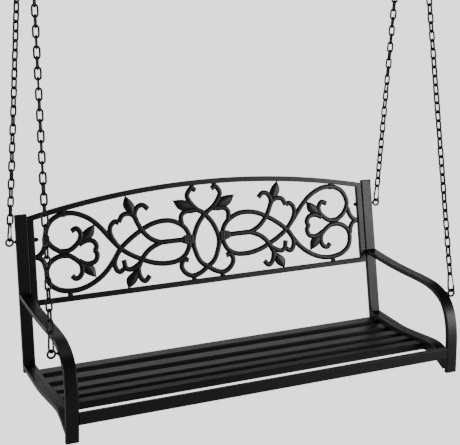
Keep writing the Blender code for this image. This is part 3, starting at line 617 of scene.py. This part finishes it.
def arch_underside(x):
    """Height of the arch's underside over the base line of the scrollwork."""
    thickness = PANEL_BAR / math.cos(math.asin(x / arch_radius()))
    return SCROLL_DROP + PANEL_CENTRE_HEIGHT - PANEL_BAR - thickness - arch_drop(x)


def panel_frame():
    place = BACK @ Matrix.Translation((0, PANEL_INSET + PANEL_DEPTH / 2, 0)) @ FACE_ON
    middle = arch_radius() - PANEL_BAR / 2
    arch = []
    most = math.asin(SPAN / arch_radius())
    for k in range(ARCH_STEPS + 1):
        angle = most * (2 * k / ARCH_STEPS - 1)
        arch.append(Vector((middle * math.sin(angle), PANEL_BOTTOM + PANEL_CENTRE_HEIGHT - arch_radius()
                            + middle * math.cos(angle))))
    show_bar("back_top_bar", arch, PANEL_DEPTH, PANEL_BAR, PANEL_CORNER, place)
    height = PANEL_BOTTOM + PANEL_BAR / 2
    level = [Vector((-SPAN, height)), Vector((SPAN, height))]
    show_bar("back_bottom_bar", level, PANEL_DEPTH, PANEL_BAR, PANEL_CORNER, place)
    for side, sign in SIDES:
        x = sign * (SPAN - PANEL_SIDE_BAR / 2)
        top = PANEL_INSIDE - SCROLL_DROP + arch_underside(abs(x)) + INTO
        upright = [Vector((x, PANEL_INSIDE - INTO)), Vector((x, top))]
        show_bar("back_side_bar_" + side, upright, PANEL_DEPTH, PANEL_SIDE_BAR, PANEL_SIDE_CORNER, place)


# ------------------------------------------------------------------ scrollwork
# Lines of one half of the scrollwork: distance from the middle and height over the pattern's base line.
BIG_LOOP = [(0.492, 0.142), (0.525, 0.166), (0.541, 0.200), (0.526, 0.239), (0.494, 0.259), (0.456, 0.262),
            (0.424, 0.253), (0.392, 0.235), (0.361, 0.206), (0.330, 0.168), (0.298, 0.133),
            (0.266, 0.110), (0.233, 0.093), (0.198, 0.078), (0.157, 0.069), (0.114, 0.070),
            (0.083, 0.083), (0.065, 0.107), (0.059, 0.139), (0.067, 0.167), (0.088, 0.189),
            (0.121, 0.204), (0.157, 0.206), (0.192, 0.199), (0.227, 0.183), (0.263, 0.161),
            (0.298, 0.133), (0.318, 0.106), (0.343, 0.074), (0.372, 0.049), (0.405, 0.031),
            (0.439, 0.021), (0.472, 0.020), (0.508, 0.028), (0.536, 0.050), (0.544, 0.084),
            (0.536, 0.109), (0.514, 0.126), (0.486, 0.133)]
PLAIN, CURL, BRANCH = "plain", "curl", "branch"
# Each strand has its points, its size beside the big loop's, and how its thickness runs.
OUTER_STRANDS = [
    (BIG_LOOP, 1.0, PLAIN),
    ([(0.494, 0.146), (0.475, 0.145), (0.457, 0.151), (0.434, 0.172), (0.428, 0.195), (0.441, 0.212),
      (0.458, 0.205)], 1.0, CURL),
    ([(0.488, 0.131), (0.472, 0.130), (0.458, 0.123), (0.434, 0.102), (0.429, 0.079), (0.438, 0.060),
      (0.453, 0.056), (0.463, 0.067)], 1.0, CURL),
    ([(0.436, 0.160), (0.420, 0.168), (0.403, 0.171), (0.386, 0.165), (0.378, 0.149), (0.385, 0.135)],
     0.8, PLAIN),
    ([(0.385, 0.139), (0.377, 0.122), (0.385, 0.103), (0.405, 0.097), (0.422, 0.101), (0.438, 0.110)],
     0.8, PLAIN),
    ([(0.5785, 0.136), (0.570, 0.137), (0.557, 0.147), (0.548, 0.161), (0.542, 0.182)], 0.8, PLAIN),
    ([(0.5785, 0.136), (0.570, 0.135), (0.557, 0.127), (0.549, 0.113), (0.545, 0.094)], 0.8, PLAIN),
    ([(0.066, 0.136), (0.100, 0.138), (0.130, 0.138), (0.162, 0.139), (0.195, 0.154), (0.222, 0.182),
      (0.239, 0.213), (0.249, 0.240)], 1.0, PLAIN),
    ([(0.130, 0.138), (0.160, 0.137), (0.197, 0.122), (0.223, 0.099), (0.239, 0.072), (0.250, 0.048)],
     1.0, PLAIN),
    ([(0.245, 0.225), (0.244, 0.244), (0.232, 0.261), (0.215, 0.264), (0.199, 0.250)], 0.85, CURL),
    ([(0.240, 0.218), (0.250, 0.234), (0.268, 0.242), (0.288, 0.237), (0.300, 0.217)], 0.85, CURL),
    ([(0.301, 0.215), (0.313, 0.221), (0.327, 0.210), (0.332, 0.191), (0.326, 0.170), (0.315, 0.152)],
     0.8, BRANCH),
    ([(0.244, 0.064), (0.240, 0.040), (0.230, 0.024), (0.219, 0.022), (0.206, 0.036)], 0.85, CURL),
    ([(0.236, 0.080), (0.252, 0.070), (0.270, 0.063), (0.286, 0.071), (0.291, 0.096)], 0.85, CURL),
    ([(0.303, 0.128), (0.315, 0.110), (0.322, 0.090), (0.317, 0.068), (0.305, 0.060), (0.293, 0.067)],
     0.8, BRANCH),
]
# Each leaf has its base, its tip, its width and the side of its fuller half.
OUTER_LEAVES = [((0.434, 0.160), (0.3795, 0.2215), 0.034, 1),
                ((0.437, 0.112), (0.3835, 0.0495), 0.034, -1),
                ((0.247, 0.228), (0.274, 0.302), 0.034, -1),
                ((0.247, 0.060), (0.282, 0.001), 0.034, 1)]
CENTRE_STRANDS = [
    ([(0.0, 0.041), (0.022, 0.057), (0.037, 0.084), (0.046, 0.127), (0.030, 0.176), (0.0, 0.216)],
     1.0, PLAIN),
    ([(0.0, 0.216), (-0.029, 0.234), (-0.050, 0.258), (-0.059, 0.281), (-0.044, 0.302), (-0.029, 0.295)],
     1.0, CURL),
    ([(0.0, 0.041), (-0.027, 0.024), (-0.055, 0.017), (-0.080, 0.029), (-0.093, 0.052), (-0.084, 0.072),
      (-0.068, 0.070)], 1.0, CURL),
    ([(-0.026, 0.232), (-0.045, 0.229), (-0.070, 0.228), (-0.085, 0.214), (-0.083, 0.186)], 0.85, PLAIN),
]
CENTRE_LEAVES = [((0.030, 0.230), (0.113, 0.270), 0.036, -1)]
STRAND_WIDTH = 0.0166
STRAND_HEIGHT = 0.0082
STRAND_TOP = 0.42     # the flat top's share of the width
STRAND_STEP = 0.0002  # each strand lies this much higher than the one before, so crossings stay clean
CURL_SWELL = 0.60     # how much a curl thickens towards its end
CURL_START, CURL_FULL = 0.30, 0.78
CURL_TAPER = 0.86     # from here the curl narrows to its tip
LEAF_STEPS = 14
LEAF_NECK = 0.26      # the neck's share of a leaf's half width
LEAF_POINT = 0.0004
PAD_LIFT = -0.0012    # pads and feet lie a little behind the strands
BAND_LIFT = 0.0014    # collar bands stand proud of them
ARCH_OVERLAP = 0.002
# Bands of the collar that ties the stem to the loop: place, low end, high end, width.
COLLAR_BANDS = [(0.0535, 0.1240, 0.1515, 0.009), (0.0615, 0.1200, 0.1555, 0.010),
                (0.0700, 0.1230, 0.1525, 0.009), (0.0780, 0.1260, 0.1495, 0.009)]


def swell_along(kind, count):
    """How thick a strand is at each of its points."""
    sizes = []
    for k in range(count):
        t = k / (count - 1)
        size = 1.0
        if kind == CURL:
            size += CURL_SWELL * min(1.0, max(0.0, (t - CURL_START) / (CURL_FULL - CURL_START)))
            if t > CURL_TAPER:
                size *= 1.0 - 0.50 * ((t - CURL_TAPER) / (1 - CURL_TAPER)) ** 1.6
        if kind == BRANCH:
            size = 0.85 + 0.3 * t
        sizes.append(size)
    return sizes


def strand_mesh(points, size, kind, mirror, lift):
    path = smooth_path([(mirror * x, z) for x, z in points], 0.004)
    sizes = [size * s for s in swell_along(kind, len(path))]
    values = {"Width": STRAND_WIDTH, "Height": STRAND_HEIGHT, "Top": STRAND_TOP, "Finish": casting_finish}
    verts = [(p.x, p.y, lift) for p in path]
    return bake("strand", STRAND, values, verts, line_edges(len(path)), {"swell": sizes})


def leaf_mesh(base, tip, width, bend, mirror):
    """A pointed leaf on a narrow neck, ridged down its middle and fuller on one side of its tip."""
    base, tip = Vector((mirror * base[0], base[1])), Vector((mirror * tip[0], tip[1]))
    along = tip - base
    side = Vector((-along.y, along.x)).normalized() * mirror * bend
    rings = []
    thick = STRAND_HEIGHT / 2
    for k in range(LEAF_STEPS + 1):
        t = k / LEAF_STEPS
        neck, point = LEAF_NECK * (1 - t), width * 0.5 * (1 - t ** 8)
        near = point * (neck + 0.80 * math.sin(math.pi * t ** 0.95) ** 0.9)
        far = point * (neck + 1.05 * math.sin(math.pi * t ** 1.35) ** 0.9)
        near, far = max(near, LEAF_POINT), max(far, LEAF_POINT)
        centre = base + along * t
        ridge = thick * (1.05 - 0.5 * t * t)
        spots = [(-near, -thick), (-near, -thick * 0.1), (-near * 0.5, ridge * 0.5), (0.0, ridge),
                 (far * 0.5, ridge * 0.5), (far, -thick * 0.1), (far, -thick)]
        rings.append([(*(centre + side * u), v) for u, v in spots])
    return skinned("leaf", rings, casting_finish)


def casting(name, strands, leaves, pads, mirrors):
    """One casting of the panel; a pad has its place, low and high end, width and lift."""
    place = BACK @ Matrix.Translation((0, SCROLL_SETBACK, PANEL_INSIDE - SCROLL_DROP)) @ FACE_ON
    meshes = []
    for mirror in mirrors:
        for number, (points, size, kind) in enumerate(strands):
            meshes.append(strand_mesh(points, size, kind, mirror, STRAND_STEP * number - 0.001))
        for leaf in leaves:
            meshes.append(leaf_mesh(*leaf, mirror))
        for x, low, high, width, lift in pads:
            meshes.append(strand_mesh([(x, low), (x, high)], width / STRAND_WIDTH, PLAIN, mirror, lift))
    mesh = join(name, meshes)
    for other in meshes:
        bpy.data.meshes.remove(other)
    mesh.transform(place)
    soften(mesh, 28)
    show(name, mesh, "bench", "casting", name)


def scrollwork():
    outer_pads = [(0.481, 0.252, arch_underside(0.481) + ARCH_OVERLAP, 0.018, PAD_LIFT),
                  (0.472, 0.003, 0.024, 0.027, PAD_LIFT), *((*band, BAND_LIFT) for band in COLLAR_BANDS)]
    centre_pads = [(0.040, 0.298, arch_underside(0.040) + ARCH_OVERLAP, 0.016, PAD_LIFT),
                   (0.051, 0.003, 0.022, 0.025, PAD_LIFT)]
    casting("scroll_left", OUTER_STRANDS, OUTER_LEAVES, outer_pads, (-1,))
    casting("scroll_right", OUTER_STRANDS, OUTER_LEAVES, outer_pads, (1,))
    casting("scroll_centre", CENTRE_STRANDS, CENTRE_LEAVES, centre_pads, (-1, 1))


# ------------------------------------------------------------------ hanging hardware
HOOK_SHAPE = [(0.0065, 0.0494), (0.0062, 0.0520), (0.0052, 0.0562), (0.0, HOOK_LENGTH),
              (-0.0052, 0.0562), (-0.0070, 0.0440), (-0.0088, 0.0280), (-0.0100, 0.0140),
              (-0.0086, 0.0052), (-0.0048, 0.0012), (0.0, 0.0), (0.0048, 0.0012),
              (0.0086, 0.0052), (0.0100, 0.0120), (0.0097, 0.0200)]
GATE_PIVOT = (0.0067, 0.0480)
GATE_TIP = (0.0096, 0.0205)
HOOK_TURN = {"rear": 14, "front": 24}              # degrees out of the side plane
CHAIN_SETTLE = {"left": -0.30, "right": -0.12}     # how far the first link has turned in its hook
LINK_PLAY = 0.0001                                 # between an end link and what it hangs on


def eye_places():
    y, z = REAR_EYE
    rear = BACK @ Vector((0, y, z))
    arm = from_post(ARM_PATH)
    height, _ = height_at(arm, FRONT_EYE_Y)
    front = BENCH @ Vector((0, FRONT_EYE_Y, height))
    return {"rear": rear, "front": front}


def ring_line(radius, count):
    return [(radius * math.cos(2 * math.pi * k / count), radius * math.sin(2 * math.pi * k / count), 0)
            for k in range(count)]


def turned_shape(name, outline, place, finish, sides=24, six_sided=0):
    """A shape turned on a lathe about its own Z; the first six_sided rings are a hexagon."""
    rings = []
    for number, (radius, height) in enumerate(outline):
        ring = []
        for k in range(sides):
            angle = 2 * math.pi * k / sides
            reach = radius
            if number < six_sided:
                sector = (angle + math.pi / 6) % (math.pi / 3) - math.pi / 6
                reach = radius * math.cos(math.pi / 6) / math.cos(sector)
            ring.append((reach * math.cos(angle), reach * math.sin(angle), height))
        rings.append(ring)
    mesh = skinned(name, rings, finish)
    mesh.transform(place)
    soften(mesh, 35)
    return mesh


def along_x(sign):
    """Turns a shape's own Z outwards, away from the bench."""
    return Matrix.Rotation(sign * math.pi / 2, 4, "Y")


def eye_bolt(end, side, sign, place):
    """A ring on a shank with a collar against the tube; a rear shank also passes the panel's side bar."""
    name = "eye_bolt_%s_%s" % (end, side)
    outside = Vector((sign * HALF_WIDTH, place.y, place.z))
    centre = outside + Vector((sign * EYE_OFFSET, 0, 0))
    ring = wire_mesh(name, ring_line(EYE_RADIUS, 40), EYE_WIRE,
                     Matrix.Translation(centre) @ Matrix.Rotation(math.pi / 2, 4, "X"), fitting_finish,
                     closed=True)
    inner = (SPAN - PANEL_SIDE_BAR - 0.006) if end == "rear" else HALF_WIDTH - 0.012
    shank = [(SHANK_RADIUS, inner - HALF_WIDTH), (SHANK_RADIUS, 0.0), (0.0034, 0.0012),
             (0.0034, EYE_OFFSET - EYE_RADIUS)]
    stem = turned_shape(name, shank, Matrix.Translation(outside) @ along_x(sign), fitting_finish)
    collar = [(0.0030, 0.0), (0.0062, 0.0), (0.0066, 0.0004), (0.0066, 0.0012), (0.0060, 0.0016),
              (0.0034, 0.0018)]
    washer = turned_shape(name, collar, Matrix.Translation(outside) @ along_x(sign), fitting_finish)
    mesh = join(name, [ring, stem, washer])
    show(name, mesh, "bench", "hardware", name)


def cap_nut(side, sign):
    """A hexagon with a washer face and a domed end, on the inside of the panel's side bar."""
    name = "cap_nut_" + side
    face = BACK @ Vector((sign * (SPAN - PANEL_SIDE_BAR), *REAR_EYE))
    outline = [(0.0070, 0.0002), (0.0074, 0.0008), (0.0074, 0.0058), (0.0068, 0.0064)]
    dome = [(0.0056 * math.cos(a), 0.0072 + 0.0062 * math.sin(a))
            for a in (math.pi / 2 * k / 8 for k in range(8))]
    mesh = turned_shape(name, outline + dome, Matrix.Translation(face) @ along_x(-sign), fitting_finish,
                        24, 4)
    show(name, mesh, "bench", "hardware", name)


def sleeve_nut(side, sign, place):
    name = "sleeve_nut_" + side
    centre = Vector((sign * (HALF_WIDTH - 0.0088), place.y, place.z))
    outline = [(0.0042, 0.0), (0.0046, 0.0006), (0.0046, 0.0062), (0.0042, 0.0068)]
    mesh = turned_shape(name, outline, Matrix.Translation(centre) @ along_x(sign), fitting_finish)
    show(name, mesh, "bench", "hardware", name)


def ring_centre(sign):
    return Vector((sign * HANG_HALF_SPACING, 0, -RING_CENTRE_DROP))


def hook_frame(sign, place, turn):
    """Axes of a hook: up along its chain, ahead turned out of the side plane."""
    eye = Vector((sign * (HALF_WIDTH + EYE_OFFSET), place.y, place.z))
    seat = eye + Vector((0, 0, EYE_RADIUS - EYE_WIRE - HOOK_WIRE - HOOK_PLAY))
    up = (ring_centre(sign) - seat).normalized()
    ahead = Vector((math.sin(turn), -math.cos(turn), 0.0))
    normal = up.cross(ahead).normalized()
    ahead = normal.cross(up).normalized()
    axes = Matrix.Identity(4)
    for column, axis in enumerate((ahead, normal, up)):
        axes.col[column][:3] = axis
    axes.col[3][:3] = seat
    return axes


def snap_hook(end, side, axes):
    name = "snap_hook_%s_%s" % (end, side)
    path = smooth_path([Vector((x, 0, z)) for x, z in HOOK_SHAPE], 0.0016)
    wire = wire_mesh(name, path, HOOK_WIRE, axes, fitting_finish)
    pivot = axes @ Matrix.Translation((GATE_PIVOT[0], 0, GATE_PIVOT[1] - 0.0006)) @ Matrix.Rotation(
        math.pi / 2, 4, "X")
    rivet = turned_shape(name, [(0.0009, -0.0031), (0.0014, -0.0028), (0.0014, -0.0024), (0.0008, -0.0023),
                                (0.0008, 0.0023), (0.0014, 0.0024), (0.0014, 0.0028), (0.0009, 0.0031)],
                         pivot, fitting_finish, 14)
    show(name, join(name, [wire, rivet]), "bench", "hardware", name)
    gate = "hook_gate_%s_%s" % (end, side)
    start = Vector((GATE_PIVOT[0], 0, GATE_PIVOT[1] + 0.0014))    # up to the end of the hook's wire
    tip = Vector((GATE_TIP[0], 0, GATE_TIP[1]))
    path = [start.lerp(tip, k / 10) for k in range(11)]
    bar = wire_mesh(gate, path, GATE_WIRE, axes, fitting_finish)
    show(gate, bar, "gate_%s_%s" % (end, side), "hardware", gate)


def chain(end, side, sign, axes, turn_seed):
    """Links from the top of the hook to the top ring."""
    name = "chain_%s_%s" % (end, side)
    seat = axes.translation
    ring = ring_centre(sign)
    up = (ring - seat).normalized()
    first = seat + up * (HOOK_LENGTH - HOOK_WIRE - 2 * LINK_WIRE + LINK_LENGTH / 2 - LINK_PLAY)
    inside = TOP_RING_RADIUS - TOP_RING_WIRE - 2 * LINK_WIRE
    last = ring - up * (inside + LINK_LENGTH / 2 - LINK_PLAY)
    pitch = LINK_LENGTH - 4 * LINK_WIRE
    count = round((last - first).length / pitch) + 1
    fitted = (last - first).length / (count - 1)
    settle = Matrix.Rotation(CHAIN_SETTLE[side], 4, up)
    start_flat = settle @ Vector(axes.col[1][:3])
    away = settle @ Vector((1, 0, 0))
    turn = math.atan2(start_flat.cross(away).dot(up), start_flat.dot(away))
    quarter = math.pi / 2
    leftover = (turn - (count - 1) * quarter + quarter) % (2 * quarter) - quarter
    values = {"Start": first, "End": last, "Links": count, "First flat": start_flat,
              "Drift": leftover / (count - 1), "Length": fitted + 4 * LINK_WIRE, "Width": LINK_WIDTH,
              "Wire": LINK_WIRE, "Seed": turn_seed, "Finish": chain_finish}
    mesh = bake(name, CHAIN, values, [(0, 0, 0)])
    show(name, mesh, "bench", "hardware", name)


def top_ring(side, sign):
    name = "top_ring_" + side
    place = Matrix.Translation(ring_centre(sign)) @ Matrix.Rotation(math.pi / 2, 4, "Y")
    mesh = wire_mesh(name, ring_line(TOP_RING_RADIUS, 64), TOP_RING_WIRE, place, fitting_finish, 16, True)
    show(name, mesh, "bench", "hardware", name)


def hangers():
    """The U-shaped eyes under the ceiling plates."""
    for side, _ in SIDES:
        low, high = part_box("ceiling_eye_" + side)
        x = (low.x + high.x) / 2
        half = (high.x - low.x) / 2 - CEILING_WIRE
        bend = 0.007
        path = [Vector((x - half, 0, high.z + 0.001)), Vector((x - half, 0, bend))]
        for k in range(1, 9):
            angle = math.pi / 2 * k / 8
            path.append(Vector((x - half + bend * (1 - math.cos(angle)), 0, bend * (1 - math.sin(angle)))))
        path += [Vector((2 * x - p.x, 0, p.z)) for p in reversed(path)]
        mesh = wire_mesh("ceiling_eye_" + side, path, CEILING_WIRE, Matrix.Identity(4), fitting_finish, 16)
        show("ceiling_eye_" + side, mesh, "hangers", "hardware", "ceiling_eye_" + side)


def rounded_cap(name, matrix, width, depth, corner, height):
    """A moulded cap over the end of a tube, slightly domed."""
    rings = []
    for inset, rise in [(0.0, 0.0), (0.0, height * 0.45), (0.0004, height * 0.75), (0.0012, height * 0.95),
                        (0.0024, height)]:
        ring = []
        for quadrant, (u, v) in enumerate([(1, 1), (-1, 1), (-1, -1), (1, -1)]):
            for k in range(5):
                angle = math.pi / 2 * (quadrant + k / 4)
                x = u * (width / 2 - corner) + (corner - inset) * math.cos(angle)
                y = v * (depth / 2 - corner) + (corner - inset) * math.sin(angle)
                ring.append((x, y, rise))
        rings.append(ring)
    mesh = skinned(name, rings, cap_finish)
    mesh.transform(matrix)
    soften(mesh, 50)
    show(name, mesh, "bench", "plastic", name)


def caps():
    arm = from_post(ARM_PATH)
    down = (arm[-1] - arm[-2]).normalized()
    for side, sign in SIDES:
        x = sign * (HALF_WIDTH - TUBE_WIDTH / 2)
        y = TUBE_DEPTH / 2
        top = BACK @ Matrix.Translation((x, y, POST_LENGTH))
        foot = BACK @ Matrix.Translation((x, y, 0)) @ Matrix.Rotation(math.pi, 4, "X")
        tilt = math.atan2(down.x, -down.y)
        leg = (BENCH @ Matrix.Translation((x, arm[-1].x, arm[-1].y)) @ Matrix.Rotation(tilt, 4, "X")
               @ Matrix.Rotation(math.pi, 4, "X"))
        for name, matrix in (("post_top_cap_", top), ("post_foot_cap_", foot), ("leg_foot_cap_", leg)):
            rounded_cap(name + side, matrix, TUBE_WIDTH, TUBE_DEPTH, CAP_CORNER, CAP_HEIGHT)


def hardware():
    places = eye_places()
    for side, sign in SIDES:
        for number, end in enumerate(("rear", "front")):
            axes = hook_frame(sign, places[end], math.radians(HOOK_TURN[end]))
            eye_bolt(end, side, sign, places[end])
            snap_hook(end, side, axes)
            chain(end, side, sign, axes, 10 * number + (sign > 0))
        cap_nut(side, sign)
        sleeve_nut(side, sign, places["front"])
        top_ring(side, sign)
    hangers()


def dress_plain_nodes():
    """Small pieces whose modelled shape is right keep it, in a finish of their own."""
    for side, _ in SIDES:
        for kind in ("ceiling_plate_", "corner_bolt_"):
            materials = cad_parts[kind + side].data.materials
            materials.clear()
            materials.append(fitting_finish)


# ------------------------------------------------------------------ studio
SKY_LIGHT, SKY_GLOW = 0.05, 1.85    # what the sky sheds, and what it adds where it is looked at
FLOOR_GLOW = 2.1
FLOOR_DROP = 0.42                   # from the legs' feet down to the floor
SOFTBOXES = (    # name, place, aim, size, watts
    ("right softbox", (3.5, -3.2, -1.0), (0.6, 0.1, -1.45), (1.7, 1.7), 95),
    ("left softbox", (-2.6, 2.6, -0.6), (-0.6, -0.2, -1.5), (1.8, 1.8), 44),
    ("left front softbox", (-4.2, -2.0, -0.2), (-0.3, 0, -1.5), (1.6, 1.6), 50),
    ("rear softbox", (1.6, 4.0, 0.35), (0.2, -0.1, -1.75), (3.4, 0.9), 17),
    ("overhead", (0.2, 0.6, 2.4), (0, 0, -1.6), (2.4, 2.4), 13))
CAMERA_PLACE = (-1.453, -3.1750, -0.4726)
CAMERA_DIP, CAMERA_TURN = 6.27, 24.44    # degrees below level, and to the right of straight ahead
CAMERA_LENS = 89.14
CAMERA_SHIFT = (-0.0009, -0.3454)


def studio():
    world = bpy.data.worlds.new("studio")
    world.use_nodes = True
    sky = world.node_tree.nodes["Background"]
    sky.inputs["Color"].default_value = (1, 1, 1, 1)
    plan = Plan(world.node_tree)
    seen = plan.number(plan.node("ShaderNodeLightPath").outputs["Is Camera Ray"])
    world.node_tree.links.new((seen * SKY_GLOW + SKY_LIGHT).socket, sky.inputs["Strength"])
    bpy.context.scene.world = world
    for name, place, aim, size, power in SOFTBOXES:
        light = bpy.data.lights.new(name, "AREA")
        light.shape = "RECTANGLE"
        light.size, light.size_y = size
        light.energy = power
        lamp = bpy.data.objects.new(name, light)
        bpy.context.scene.collection.objects.link(lamp)
        lamp.location = place
        lamp.rotation_euler = (Vector(aim) - Vector(place)).to_track_quat("-Z", "Y").to_euler()
    bm = bmesh.new()
    bmesh.ops.create_grid(bm, x_segments=2, y_segments=2, size=30)
    mesh = bpy.data.meshes.new("floor")
    bm.to_mesh(mesh)
    bm.free()
    mesh.transform(Matrix.Translation((0, 0, -HANG_HEIGHT - FLOOR_DROP)))
    mesh.materials.append(bright_floor())
    floor = bpy.data.objects.new("floor", mesh)
    bpy.context.scene.collection.objects.link(floor)


def bright_floor():
    """A pale floor that glows where it is looked at, and is plain light grey for everything else."""
    material, plan, shader = finish_plan("pale_floor", (0.66, 0.66, 0.66), 0.8, 0.0)
    set_input(plan, shader, "Roughness", grain(plan, 3, 2) * 0.1 + 0.75)
    glow = plan.node("ShaderNodeEmission", None, {"Color": (1, 1, 1, 1), "Strength": FLOOR_GLOW})
    seen = plan.node("ShaderNodeLightPath").outputs["Is Camera Ray"]
    mixed = plan.node("ShaderNodeMixShader", None, {0: plan.number(seen) * 0.9, 1: shader.outputs[0],
                                                    2: glow.outputs[0]})
    output = next(n for n in material.node_tree.nodes if n.type == "OUTPUT_MATERIAL")
    plan.tree.links.new(mixed.outputs[0], output.inputs["Surface"])
    return material


def camera():
    lens = bpy.data.cameras.new("camera")
    lens.sensor_width = 36
    lens.sensor_fit = "HORIZONTAL"
    lens.lens = CAMERA_LENS
    lens.shift_x, lens.shift_y = CAMERA_SHIFT
    lens.clip_end = 100
    eye = bpy.data.objects.new("camera", lens)
    bpy.context.scene.collection.objects.link(eye)
    eye.location = CAMERA_PLACE
    eye.rotation_euler = (math.radians(90 - CAMERA_DIP), 0, -math.radians(CAMERA_TURN))
    bpy.context.scene.camera = eye


side_frames()
seat_slats()
front_rail()
panel_frame()
scrollwork()
hardware()
caps()
dress_plain_nodes()
studio()
camera()
